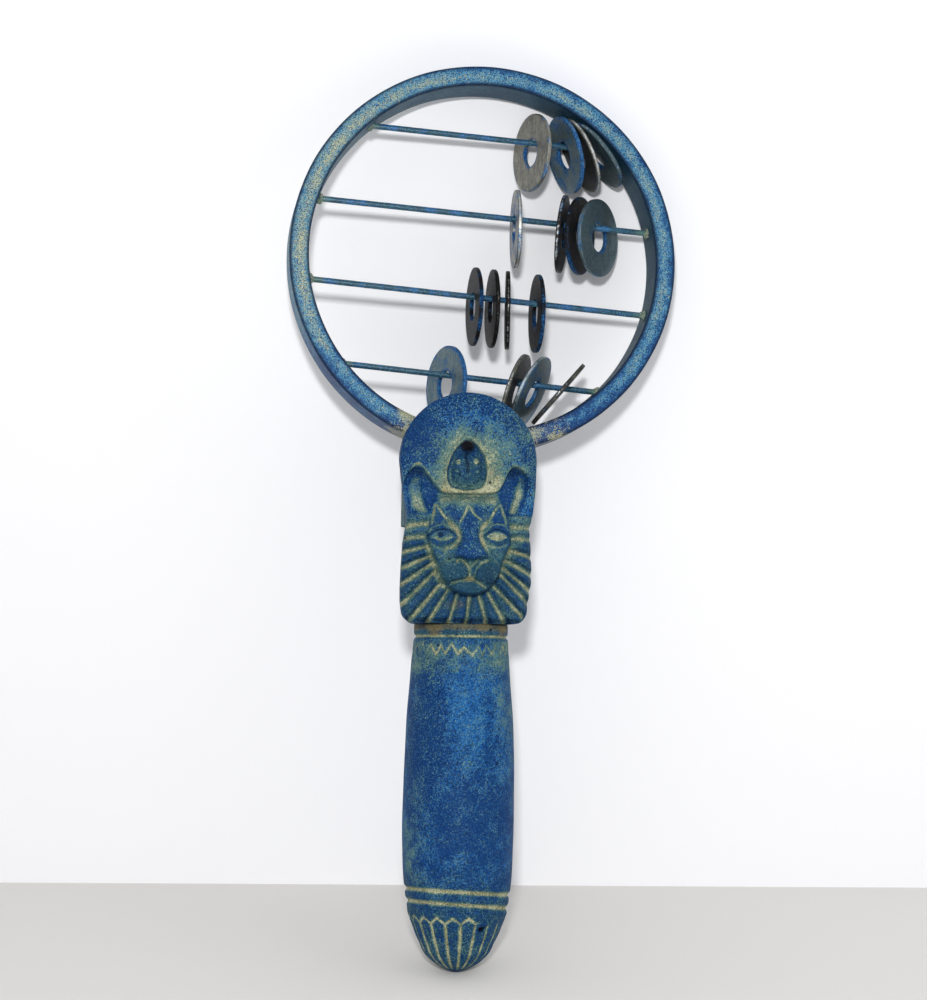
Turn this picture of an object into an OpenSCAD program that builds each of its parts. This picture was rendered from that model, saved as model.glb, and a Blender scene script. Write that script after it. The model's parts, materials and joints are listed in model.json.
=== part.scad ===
// Sistrum: a hand rattle with a hoop, four cross rods, sixteen loose jingles,
// a carved lioness head and a barrel grip.
// X is to the right, Y runs from front to back, Z is up along the grip.
// Heights are measured from the tip of the pommel, then the part is moved down
// so that its origin is the middle of the grip.

/* [Hoop] */
// Outside diameter of the hoop
hoop_od = 144; // [132:0.5:160]
// Radial thickness of the hoop's band
hoop_wall = 7.2; // [5:0.1:8]
// Depth of the band from front to back
hoop_depth = 17; // [12:0.5:22]
// Height of the hoop's lowest point above the pommel's tip
hoop_seat = 189; // [186:0.5:192]
// Lean of the hoop to the right of the grip's axis, in degrees
hoop_lean = 4.5; // [0:0.5:6]

/* [Rods] */
// Diameter of the cross rods
rod_d = 2.3; // [1.6:0.1:3]
// Drop of the top rod below the top of the hoop's inner wall
rod_1_drop = 17.9; // [16.8:0.1:18.8]
// Lift of the second rod above an even spacing
rod_2_lift = 0.7; // [-0.6:0.1:1.4]
// Lift of the third rod above an even spacing
rod_3_lift = 0.1; // [-0.3:0.1:0.7]
// Rise of the bottom rod above the bottom of the hoop's inner wall
rod_4_rise = 20.8; // [19.8:0.1:21.8]
// Diameter of the weld bead at each rod end
bead_d = 4.4; // [3.4:0.1:6]

/* [Jingles] */
// Gap between the jingles that hang on neighbouring rods
jingle_row_gap = 0.4; // [0.2:0.1:3.6]
// Hole in a jingle
jingle_hole = 10.5; // [8:0.1:12]
// Thickness of a jingle
jingle_t = 1.5; // [1:0.1:2]
// Gap between a rod and the hole's edge that hangs on it
jingle_gap = 0.4; // [0.3:0.05:0.6]

/* [Head] */
// Width of the head across the mane
head_w = 47.4; // [42:0.2:54]
// Height of the head's underside above the pommel's tip
head_base = 125.6; // [122:0.2:130]
// Front of the wig, measured forward from the grip's axis
wig_front = 18; // [16:0.5:20]
// Back of the wig, measured back from the grip's axis
wig_back = 17; // [14:0.5:20]
// Radius of the wig's upright edges at the back
wig_round = 12; // [6:0.5:14]
// Radius of the wig's upright edges at the front
brow_round = 4; // [2:0.5:6]
// Width of the wig behind the sun disc and the ears
wig_w = 44; // [40:0.5:47]
// Height of the wig's lower edge above the pommel's tip
wig_z = 162; // [158:0.5:164]
// Width of the neck under the wig, behind the mane
neck_w = 40; // [36:0.5:46]
// Diameter of the sun disc
disc_d = 50; // [44:0.2:56]
// Height of the sun disc's centre above the pommel's tip
disc_z = 184; // [181:0.5:187]
// Rise of the sun disc's domed front above its rim
disc_rise = 5.5; // [3:0.5:8]
// Thickness of the sun disc's rim
disc_rim = 2; // [1:0.25:4]
// Height of the face's centre above the pommel's tip
face_z = 155; // [152:0.5:158]
// Radius of the face's rounded mask
face_r = 17; // [14:0.5:19]
// How far the face stands forward of the wig
face_rise = 6; // [4:0.5:8]
// Radius of the muzzle
muzzle_r = 8; // [6:0.5:9]
// How far the muzzle stands forward of the wig
muzzle_rise = 7; // [5:0.5:9]
// Distance of the muzzle's centre below the face's centre
muzzle_drop = 9; // [7:0.5:11]
// How far the mane's ruff stands forward of the wig
mane_rise = 2.5; // [1:0.25:4]
// Thickness of the mane's ruff from front to back
mane_t = 8; // [5:0.5:10]
// Radius of the mane's two lower corners
foot_round = 4; // [2:0.5:6]
// Outer radius of the mane's ruff
mane_r = 36.5; // [32:0.5:40]
// Inner radius at which the mane's grooves start
mane_groove_start = 13.5; // [12:0.5:16]
// Width of a groove in the mane
mane_groove_w = 1.2; // [0.6:0.1:2]
// Depth of a groove in the mane
mane_groove_depth = 1.2; // [0.5:0.1:2]
// Height of the mane's top edge above the pommel's tip
mane_top = 163; // [160:0.5:166]
// Angle that the mane's grooves fan through, in degrees
mane_fan = 220; // [180:5:240]
// Number of grooves in the mane
mane_grooves = 19; // [13:2:25]
// Height of an ear
ear_h = 16; // [12:0.5:20]
// Width of an ear
ear_w = 8.5; // [6:0.5:11]
// Distance of an ear's centre from the head's middle
ear_x = 17; // [15:0.5:19]
// Height of an ear's centre above the pommel's tip
ear_z = 174; // [170:0.5:178]
// Lean of an ear away from the head's middle, in degrees
ear_lean = 10; // [0:1:20]
// How far the ears stand forward of the wig
ear_rise = 4; // [2:0.5:6]

/* [Grip] */
// Largest diameter of the grip
grip_d = 40.8; // [34:0.2:46]
// Height of the grip's widest place above the pommel's tip
grip_wide_z = 49; // [44:1:56]
// Diameter at the grip's top, under the collar groove
grip_top_d = 34.4; // [30:0.2:38]
// Diameter of the pommel where it meets the barrel
pommel_d = 36.4; // [32:0.2:40]
// Height of the pommel
pommel_h = 23; // [18:0.5:28]
// Width of the collar groove and the two pommel grooves
groove_w = 1.6; // [1:0.1:3]
// Height of the collar above its groove
collar_h = 4.6; // [3:0.2:7]
// Height of the upper pommel groove above the lower one
groove_pitch = 5.4; // [4:0.2:8]
// Height of the grip's middle, where a hand or a clip holds it
grip_hold = 72; // [60:1:84]

/* [Tang] */
// Diameter of the hidden tang
tang_d = 8; // [5:0.5:10]
// How deep the tang reaches into the grip
tang_depth = 60; // [40:1:80]

/* [Hidden] */
$fn = 96;
// How far a cutting shape runs past the face that it cuts
cut = 1;
// How far a raised form is rooted in the wig behind it
root = 2;
// Gap between the pieces that are bonded or welded together
bond_gap = 0.1;
// Gap round the hoop in the head's slot
slot_gap = 0.15;
// Room between a jingle's edge and the back of the sun disc
disc_clear = 0.5;
// The slot's bed lies this far below the hoop's inner face
bed_drop = 0.7;

hoop_r = hoop_od / 2;
hoop_inner_r = hoop_r - hoop_wall;
bed_z = hoop_seat + hoop_wall - bed_drop;
collar_z = head_base - collar_h;
grip_r = grip_d / 2;
low_arc = arc_r(grip_wide_z - pommel_h, grip_r - pommel_d / 2);
high_arc = arc_r(collar_z - grip_wide_z, grip_r - grip_top_d / 2);
upper_groove_z = pommel_h + groove_pitch;

// Height of each rod above the hoop's centre, and its tilt: a positive tilt lifts the
// right-hand end, in degrees
rod_top = hoop_inner_r - rod_1_drop;
rod_bottom = rod_4_rise - hoop_inner_r;
rod_step = (rod_top - rod_bottom) / 3;
rod_height = [rod_top, rod_top - rod_step + rod_2_lift, rod_bottom + rod_step + rod_3_lift, rod_bottom];
rod_tilt = [1.2, 1, 0.5, 0];
rod_pitch = [for (i = [0 : 2]) rod_height[i] - rod_height[i + 1]];

// Outside diameter of a jingle, which clears the jingles on the next rods
jingle_od = min(rod_pitch) - jingle_row_gap;

// Rest place of each jingle: distance from its rod's right-hand end in jingle diameters,
// yaw that turns its left face forward, and roll that leans its top to the right, in degrees
jingle_rest = [
    [[0.983, 17, -4], [0.578, 10, -20], [0.405, 4, -30], [0.194, 0, -43]],
    [[1.733, -3, -4], [1.11, -17, 3], [0.885, -31, 1], [0.651, -41, 0]],
    [[2.219, 2, -4], [1.986, 0, -4], [1.791, -8, -4], [1.408, 0, -4]],
    [[1.935, 21, -4], [1.007, -20, 14], [0.795, -22, 23], [0.425, -4, 36]]
];
jingle_letter = "abcd";

// The sun disc's back clears the jingles and the hoop
disc_back = max(jingle_od / 2 + disc_clear, hoop_depth / 2 + disc_rim);
disc_front = disc_back + disc_rim + disc_rise;

// Distance along a rod from the hoop's middle plane to its right-hand or left-hand end
function rod_foot(i) = -rod_height[i] * sin(rod_tilt[i]);
function rod_half(i, r) = sqrt(r * r - pow(rod_height[i] * cos(rod_tilt[i]), 2));
function rod_right(i) = rod_foot(i) + rod_half(i, hoop_inner_r);
function jingle_name(i, k) = str("jingle_", i + 1, jingle_letter[k]);

// How far a jingle's centre hangs below its rod at a given roll
function hang(roll) =
    jingle_hole / 2 - rod_d / 2 / cos(roll) - jingle_t / 2 * abs(tan(roll)) - jingle_gap;

// Moves the part's origin from the pommel's tip to the middle of the grip
module placed() {
    translate([0, 0, -grip_hold]) children();
}

// Frame of the hoop: origin at its centre, leaning about its lowest point
module hoop_frame() {
    placed() translate([0, 0, hoop_seat]) rotate([0, hoop_lean, 0]) translate([0, 0, hoop_r]) children();
}

// Frame of a rod: origin where it crosses the hoop's middle plane, X along the rod
module rod_frame(i) {
    hoop_frame() translate([0, 0, rod_height[i]]) rotate([0, -rod_tilt[i], 0]) children();
}

// Solid cylinder along X, centred on the origin
module bar(d, length) {
    rotate([0, 90, 0]) cylinder(d = d, h = length, center = true);
}

// Solid cylinder along Y, centred on the origin
module drum(r, length) {
    rotate([90, 0, 0]) cylinder(r = r, h = length, center = true, $fn = 360);
}

// Hoop band, grown on every face by a gap
module hoop_band(gap) {
    difference() {
        drum(hoop_r + gap, hoop_depth + 2 * gap);
        drum(hoop_inner_r - gap, hoop_depth + 2 * gap + 2 * cut);
    }
}

// The hoop: a closed flat-sided band
module hoop() {
    color("#3f7391") hoop_frame() hoop_band(0);
}

// One cross rod, coped to the hoop's inner wall
module rod(i) {
    color("#1f5566") intersection() {
        rod_frame(i) bar(rod_d, hoop_od);
        hoop_frame() drum(hoop_inner_r - bond_gap, hoop_depth);
    }
}

// One weld bead: a ball with a bore for the rod, its axis along X
module bead() {
    bore_r = rod_d / 2 + bond_gap;
    rotate([0, 90, 0]) rotate_extrude() intersection() {
        circle(d = bead_d);
        translate([bore_r, -bead_d]) square([bead_d, 2 * bead_d]);
    }
}

// Weld beads round both ends of every rod, against the hoop's inner wall
module weld_beads() {
    color("#a9a06a") for (i = [0 : 3]) for (side = [-1, 1]) {
        end = rod_foot(i) + side * rod_half(i, hoop_inner_r);
        intersection() {
            rod_frame(i) translate([end, 0, 0]) bead();
            hoop_frame() drum(hoop_inner_r - bond_gap, hoop_depth);
        }
    }
}

// One loose jingle, hanging on its rod at its rest place
module jingle(i, k) {
    rest = jingle_rest[i][k];
    color("#6f7276") rod_frame(i) translate([rod_right(i) - rest[0] * jingle_od, 0, 0])
        rotate([0, rest[2], 0]) rotate([0, 0, rest[1]]) translate([0, 0, -hang(rest[2])])
        difference() {
            bar(jingle_od, jingle_t);
            bar(jingle_hole, jingle_t + 2 * cut);
        }
}

// Plan of the wig or the neck: a rectangle with small front corners and large back corners
module wig_plan(width) {
    half = width / 2;
    translate([-half, -wig_front + brow_round])
        square([width, wig_front + wig_back - brow_round - wig_round]);
    translate([-half + brow_round, -wig_front]) square([width - 2 * brow_round, wig_front]);
    translate([-half + wig_round, 0]) square([width - 2 * wig_round, wig_back]);
    for (side = [-1, 1]) {
        translate([side * (half - brow_round), -wig_front + brow_round]) circle(r = brow_round);
        translate([side * (half - wig_round), wig_back - wig_round]) circle(r = wig_round);
    }
}

// Front outline of the head: straight sides, rounded lower corners and a round top
module head_outline() {
    half = head_w / 2;
    translate([-half, head_base + foot_round]) square([head_w, disc_z - head_base - foot_round]);
    translate([-half + foot_round, head_base]) square([head_w - 2 * foot_round, foot_round]);
    for (x = [-half + foot_round, half - foot_round])
        translate([x, head_base + foot_round]) circle(r = foot_round);
    translate([0, disc_z]) circle(d = disc_d);
}

// Neck, and the wig over it up to the bed of the hoop's slot
module wig() {
    translate([0, 0, head_base]) linear_extrude(wig_z - head_base) wig_plan(neck_w);
    intersection() {
        translate([0, 0, wig_z]) linear_extrude(bed_z - wig_z) wig_plan(wig_w);
        translate([0, wig_back, 0]) rotate([90, 0, 0]) linear_extrude(wig_front + wig_back) head_outline();
    }
}

// Sun disc in front of the jingles: a flat-backed rim under a domed front
module sun_disc() {
    disc_r = disc_d / 2;
    dome_r = (disc_r * disc_r + disc_rise * disc_rise) / (2 * disc_rise);
    translate([0, 0, disc_z]) rotate([90, 0, 0]) rotate_extrude() intersection() {
        translate([0, disc_back]) square([disc_r, disc_rim + disc_rise]);
        translate([0, disc_front - dome_r]) circle(r = dome_r, $fn = 360);
    }
}

// Front outline shape of some thickness, standing forward of the wig's front by a rise
module relief(rise, thick) {
    translate([0, -wig_front - rise + thick, 0]) rotate([90, 0, 0]) linear_extrude(thick) children();
}

// Mane ruff round the lower half of the face, cut by grooves that fan out from the face
module mane() {
    half = head_w / 2;
    difference() {
        relief(mane_rise, mane_t) intersection() {
            head_outline();
            translate([-half, head_base]) square([head_w, mane_top - head_base]);
            translate([0, face_z]) circle(r = mane_r);
        }
        for (i = [0 : mane_grooves - 1]) {
            angle = mane_fan * (i / (mane_grooves - 1) - 0.5);
            translate([0, -wig_front - mane_rise, face_z]) rotate([0, angle, 0])
                translate([-mane_groove_w / 2, -cut, -mane_r - cut])
                cube([mane_groove_w, mane_groove_depth + cut, mane_r + cut - mane_groove_start]);
        }
    }
}

// One ear: a leaf outline that leans outwards
module ear(side) {
    leaf_r = (ear_h * ear_h + ear_w * ear_w) / (4 * ear_w);
    relief(ear_rise, ear_rise + root)
        translate([side * ear_x, ear_z]) rotate(-side * ear_lean) intersection() {
            translate([-leaf_r + ear_w / 2, 0]) circle(r = leaf_r);
            translate([leaf_r - ear_w / 2, 0]) circle(r = leaf_r);
        }
}

// Rounded mask of the face, with its muzzle
module face() {
    translate([0, -wig_front - face_rise + face_r, face_z]) sphere(r = face_r);
    translate([0, -wig_front - muzzle_rise + muzzle_r, face_z - muzzle_drop]) sphere(r = muzzle_r);
}

// Carved lioness head with the sun disc, slotted for the hoop and bored for the tang
module lion_head() {
    color("#2f5f96") difference() {
        placed() {
            wig();
            sun_disc();
            mane();
            ear(-1);
            ear(1);
            face();
        }
        hoop_frame() hoop_band(slot_gap);
        placed() translate([0, 0, head_base - cut])
            cylinder(d = tang_d + 2 * slot_gap, h = hoop_seat - head_base + 2 * cut);
    }
}

// Radius of an arc that drops by some amount over a length, from a level start
function arc_r(length, drop) = (length * length + drop * drop) / (2 * drop);

// Half outline of the grip: an ogive pommel, a barrel of two arcs and a straight collar
module grip_profile() {
    ogive = arc_r(pommel_h, pommel_d / 2);
    intersection() {
        square([pommel_d / 2, pommel_h]);
        translate([pommel_d / 2 - ogive, pommel_h]) circle(r = ogive, $fn = 360);
    }
    intersection() {
        translate([0, pommel_h]) square([grip_r, grip_wide_z - pommel_h]);
        translate([grip_r - low_arc, grip_wide_z]) circle(r = low_arc, $fn = 720);
    }
    intersection() {
        translate([0, grip_wide_z]) square([grip_r, collar_z - grip_wide_z]);
        translate([grip_r - high_arc, grip_wide_z]) circle(r = high_arc, $fn = 1440);
    }
    translate([0, collar_z]) square([grip_top_d / 2, collar_h]);
}

// Radius of the barrel below its widest place
function low_barrel_r(z) = grip_r - low_arc + sqrt(low_arc * low_arc - pow(grip_wide_z - z, 2));

// Ring groove of round section, cut into a radius at a height
module ring_groove(radius, z) {
    translate([0, 0, z]) rotate_extrude() translate([radius, 0]) circle(d = groove_w);
}

// The turned grip, with its collar and pommel grooves and a blind bore for the tang
module grip() {
    color("#2f6096") placed() difference() {
        rotate_extrude() grip_profile();
        ring_groove(grip_top_d / 2, collar_z);
        ring_groove(pommel_d / 2, pommel_h);
        ring_groove(low_barrel_r(upper_groove_z), upper_groove_z);
        translate([0, 0, head_base - tang_depth - slot_gap])
            cylinder(d = tang_d + 2 * slot_gap, h = tang_depth + slot_gap + cut);
    }
}

// Hidden tang, coped to the underside of the hoop
module tang() {
    color("#55585c") difference() {
        placed() translate([0, 0, head_base - tang_depth])
            cylinder(d = tang_d, h = hoop_seat - head_base + tang_depth + cut);
        hoop_frame() drum(hoop_r + bond_gap, hoop_depth + tang_d);
    }
}

hoop();
rod(0);  // rod_1
rod(1);  // rod_2
rod(2);  // rod_3
rod(3);  // rod_4
weld_beads();
for (i = [0 : 3]) for (k = [0 : 3]) jingle(i, k);
lion_head();
grip();
tang();
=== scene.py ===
import json
import math
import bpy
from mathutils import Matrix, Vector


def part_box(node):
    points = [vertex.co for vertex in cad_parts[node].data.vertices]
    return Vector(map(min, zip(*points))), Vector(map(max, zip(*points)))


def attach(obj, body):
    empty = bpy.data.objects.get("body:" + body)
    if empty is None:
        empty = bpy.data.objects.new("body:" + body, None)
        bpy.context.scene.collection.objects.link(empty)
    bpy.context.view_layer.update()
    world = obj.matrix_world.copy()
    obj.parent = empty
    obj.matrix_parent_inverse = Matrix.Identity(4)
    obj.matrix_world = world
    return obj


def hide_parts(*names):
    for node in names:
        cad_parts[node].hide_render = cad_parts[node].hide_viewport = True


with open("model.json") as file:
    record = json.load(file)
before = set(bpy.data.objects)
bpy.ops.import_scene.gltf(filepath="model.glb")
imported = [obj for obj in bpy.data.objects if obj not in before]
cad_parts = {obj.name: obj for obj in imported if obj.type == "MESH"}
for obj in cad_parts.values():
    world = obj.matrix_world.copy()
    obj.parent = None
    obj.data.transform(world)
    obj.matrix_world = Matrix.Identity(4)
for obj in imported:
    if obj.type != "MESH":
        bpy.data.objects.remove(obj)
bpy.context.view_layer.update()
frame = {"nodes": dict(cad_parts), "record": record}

from types import SimpleNamespace

import bpy
import numpy as np
from bpy.props import FloatProperty, FloatVectorProperty, IntProperty, PointerProperty
from mathutils import Matrix

bl_info = {
    "name": "Sistrum",
    "version": (1, 0, 0),
    "blender": (4, 5, 0),
    "location": "View3D > Sidebar > Sistrum",
    "description": "Dresses a hand rattle with a hoop, rods, jingles, a carved lioness head and a grip",
    "category": "Object",
}

MM = 0.001
FULL_TURN = 2 * np.pi


def linear(code):
    """Linear RGBA of an sRGB hex colour."""
    parts = np.array([int(code[i:i + 2], 16) for i in (1, 3, 5)]) / 255
    low, high = parts / 12.92, ((parts + 0.055) / 1.055) ** 2.4
    return (*np.where(parts <= 0.04045, low, high).tolist(), 1.0)


# Measures of the frame, in millimetres

def node_points(name):
    """Corners of a CAD node's mesh, in millimetres."""
    mesh = frame["nodes"][name].data
    flat = np.empty(len(mesh.vertices) * 3)
    mesh.vertices.foreach_get("co", flat)
    return flat.reshape(-1, 3) / MM


def own_axes(name):
    """Centre, axes from longest to shortest, and half sizes of a node's box in its own axes."""
    points = node_points(name)
    middle = points.mean(axis=0)
    axes = np.linalg.svd(points - middle, full_matrices=False)[2]
    along = (points - middle) @ axes.T
    low, high = along.min(axis=0), along.max(axis=0)
    return middle + (low + high) / 2 @ axes, axes, (high - low) / 2


TIP_Z = node_points("grip")[:, 2].min()
HEAD_BASE = node_points("lion_head")[:, 2].min() - TIP_Z
GRIP_TOP = node_points("grip")[:, 2].max() - TIP_Z
ROD_NAMES = [f"rod_{row}" for row in range(1, 5)]
JINGLE_NAMES = [f"jingle_{row}{letter}" for row in range(1, 5) for letter in "abcd"]


# Shapes as whole arrays

def smooth(low, high, value):
    """Smooth step from 0 at low to 1 at high."""
    share = np.clip((value - low) / (high - low), 0, 1)
    return share * share * (3 - 2 * share)


def bell(distance, width):
    """Bell curve, 1 on the line and about a third at the width."""
    return np.exp(-(distance / width) ** 2)


def cap(share):
    """Height of a unit ball over the plane: 1 in the middle, 0 at share 1 and beyond."""
    return np.sqrt(np.clip(1 - share * share, 0, 1))


def greatest(*layers):
    """Greatest of several layers at each point."""
    return np.maximum.reduce(np.broadcast_arrays(*layers))


def oval(x, z, middle, level, wide, high):
    """Distance from an oval's middle, 1 on the oval."""
    return np.hypot((x - middle) / wide, (z - level) / high)


def spot(x, z, *place):
    """Soft oval spot: a bell curve of the distance from the oval's middle."""
    return bell(oval(x, z, *place), 1)


def spots(x, z, table):
    """Greatest of several soft spots, each given as its strength and its oval."""
    return greatest(*[strength * spot(x, z, *place) for strength, *place in table])


def ripple(values, counts, seed):
    """Sum of sines of a value in turns, with fixed phases, scaled to about plus or minus 1."""
    phases = np.random.default_rng(seed).uniform(0, FULL_TURN, len(counts))
    return sum(np.sin(FULL_TURN * n * values + p) for n, p in zip(counts, phases)) / len(counts)


def segment_distance(x, z, start, end):
    """Distance from grid points to a straight line between two points."""
    dx, dz = end[0] - start[0], end[1] - start[1]
    along = np.clip(((x - start[0]) * dx + (z - start[1]) * dz) / (dx * dx + dz * dz), 0, 1)
    return np.hypot(x - start[0] - along * dx, z - start[1] - along * dz)


def path_distance(x, z, points):
    """Distance from grid points to a bent line through several points."""
    pairs = zip(points[:-1], points[1:])
    return np.minimum.reduce([segment_distance(x, z, a, b) for a, b in pairs if tuple(a) != tuple(b)])


def curve(points, closed=False, steps=5):
    """Smooth curve through points as short straight steps, by the Catmull-Rom rule."""
    knots = np.array(points, float)
    knots = np.concatenate([knots[-1:], knots, knots[:2]] if closed else [knots[:1], knots, knots[-1:]])
    a, b, c, d = knots[:-3], knots[1:-2], knots[2:-1], knots[3:]
    t = np.linspace(0, 1, steps, endpoint=False)[:, None, None]
    bend, twist = 2 * a - 5 * b + 4 * c - d, 3 * b - a - 3 * c + d
    line = 0.5 * (2 * b + (c - a) * t + bend * t ** 2 + twist * t ** 3)
    line = line.transpose(1, 0, 2).reshape(-1, 2).tolist()
    return line if closed else line + [list(points[-1])]


def nearest(x, z, paths):
    """Distance from grid points to the nearest of several bent lines."""
    return np.minimum.reduce([path_distance(x, z, path) for path in paths])


def inside(x, z, outline):
    """Distance to a closed outline, positive inside and negative outside, by crossings to the right."""
    ring = list(outline) + [outline[0]]
    odd = np.zeros(x.shape, bool)
    for (x0, z0), (x1, z1) in zip(ring[:-1], ring[1:]):
        if z0 != z1:
            odd ^= ((z0 > z) != (z1 > z)) & (x < (x1 - x0) * (z - z0) / (z1 - z0) + x0)
    distance = path_distance(x, z, ring)
    return np.where(odd, distance, -distance)


def grid_faces(rows, columns, wrap_rows):
    """Quads of a grid whose columns close on themselves, and whose rows do when asked."""
    number = np.arange(rows * columns).reshape(rows, columns)
    number = np.concatenate([number, number[:, :1]], axis=1)
    if wrap_rows:
        number = np.concatenate([number, number[:1]])
    corners = [number[:-1, :-1], number[:-1, 1:], number[1:, 1:], number[1:, :-1]]
    return np.stack(corners, axis=-1).reshape(-1, 4)


def skin_rings(rings):
    """Closed skin over stacked rings: quads between the rings and a fan over each end."""
    rows, columns = rings.shape[:2]
    ends = rings[[0, -1]].mean(axis=1)
    first = np.arange(columns)
    after = np.roll(first, -1)
    top = (rows - 1) * columns
    low_fan = np.stack([after, first, np.full(columns, rows * columns)], axis=-1)
    high_fan = np.stack([first + top, after + top, np.full(columns, rows * columns + 1)], axis=-1)
    faces = [grid_faces(rows, columns, False), low_fan, high_fan]
    return np.concatenate([rings.reshape(-1, 3), ends]), faces


def skin_values(rings, value, end):
    """A value at each point of a skin over rings, with one more at the middle of both ends."""
    return np.concatenate([np.broadcast_to(value, rings.shape[:2]).ravel(), [end, end]])


def rounded_section(half_width, half_height, radius, flat_steps, arc_steps):
    """Closed outline of a rectangle with round corners, counter-clockwise from its right side."""
    turn = np.linspace(0, np.pi / 2, arc_steps)
    arcs = []
    for corner, (sx, sy) in enumerate([(1, 1), (-1, 1), (-1, -1), (1, -1)]):
        angle = turn + corner * np.pi / 2
        middle = np.array([sx * (half_width - radius), sy * (half_height - radius)])
        arcs.append(middle + radius * np.stack([np.cos(angle), np.sin(angle)], axis=-1))
    share = np.linspace(0, 1, flat_steps)[1:-1, None]
    sides = []
    for arc, following in zip(arcs, arcs[1:] + arcs[:1]):
        sides += [arc, arc[-1] + share * (following[0] - arc[-1])]
    return np.concatenate(sides)


def add_piece(name, points, faces, body, slot, material, **values):
    """Mesh object at the origin from points in millimetres, riding on a body, with its values stored."""
    mesh = bpy.data.meshes.new(name)
    corners = (points * MM).reshape(-1, 3).tolist()
    mesh.from_pydata(corners, [], [face for part in faces for face in part.tolist()])
    mesh.shade_smooth()
    for key, value in values.items():
        value = np.broadcast_to(value, points.shape[:-1]).ravel()
        mesh.attributes.new(key, "FLOAT", "POINT").data.foreach_set("value", value.astype(np.float32))
    mesh.materials.append(material)
    piece = bpy.data.objects.new(name, mesh)
    bpy.context.scene.collection.objects.link(piece)
    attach(piece, body)
    return piece


# Materials

def add(tree, kind, inputs=(), output=0, **settings):
    """Adds one node with its settings; an input is a socket to link or a value to set. Gives one output."""
    node = tree.nodes.new("ShaderNode" + kind)
    for key, value in settings.items():
        setattr(node, key, value)
    for key, value in (inputs.items() if isinstance(inputs, dict) else enumerate(inputs)):
        if isinstance(value, bpy.types.NodeSocket):
            tree.links.new(value, node.inputs[key])
        else:
            node.inputs[key].default_value = value
    return node.outputs[output] if node.outputs else None


def new_material(name):
    """Empty node material and its tree."""
    material = bpy.data.materials.new(name)
    material.use_nodes = True
    material.node_tree.nodes.clear()
    return material, material.node_tree


def grained_material(name, grains, marks=()):
    """Node material with its tree and the place on its piece, then its grains and the mesh's stored marks.

    A grain is the size of its lumps in millimetres, their detail and their roughness; it runs from 0 to 1.
    """
    material, tree = new_material(name)
    place = add(tree, "TexCoord", output="Object")
    lumps = [
        add(tree, "TexNoise", {
            "Vector": place, "Scale": 1 / (size * MM), "Detail": detail, "Roughness": rough})
        for size, detail, rough in grains]
    stored = [add(tree, "Attribute", output="Fac", attribute_name=mark) for mark in marks]
    return material, tree, place, lumps, stored


def weigh(tree, total, *terms):
    """Adds values to a starting number, each times its weight."""
    for value, weight in terms:
        total = add(tree, "Math", (value, weight, total), operation="MULTIPLY_ADD")
    return total


def lay_coats(tree, colour, *coats):
    """Lays coats of paint over a colour, one after the other.

    A coat is a value, the levels of it where the coat begins and is full, its full share and its colour.
    """
    for value, begin, full, most, tint in coats:
        share = add(tree, "MapRange", (value, begin, full, 0.0, most), interpolation_type="SMOOTHSTEP")
        colour = add(tree, "Mix", {0: share, 6: colour, 7: tint}, output=2, data_type="RGBA")
    return colour


def finish_surface(material, tree, colour, grain, rough, height, bump_mm, specular=0.5, metallic=0.0):
    """Principled surface, its roughness between two ends by its grain, with a bump of real depth."""
    roughness = add(tree, "MapRange", (grain, 0.3, 0.7, *rough), interpolation_type="SMOOTHSTEP")
    bump = add(tree, "Bump", {"Strength": 1.0, "Distance": bump_mm * MM, "Height": height})
    surface = add(tree, "BsdfPrincipled", {
        "Base Color": colour, "Roughness": roughness, "Metallic": metallic, "Specular IOR Level": specular,
        "Normal": bump})
    add(tree, "OutputMaterial", {"Surface": surface})
    return material


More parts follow.
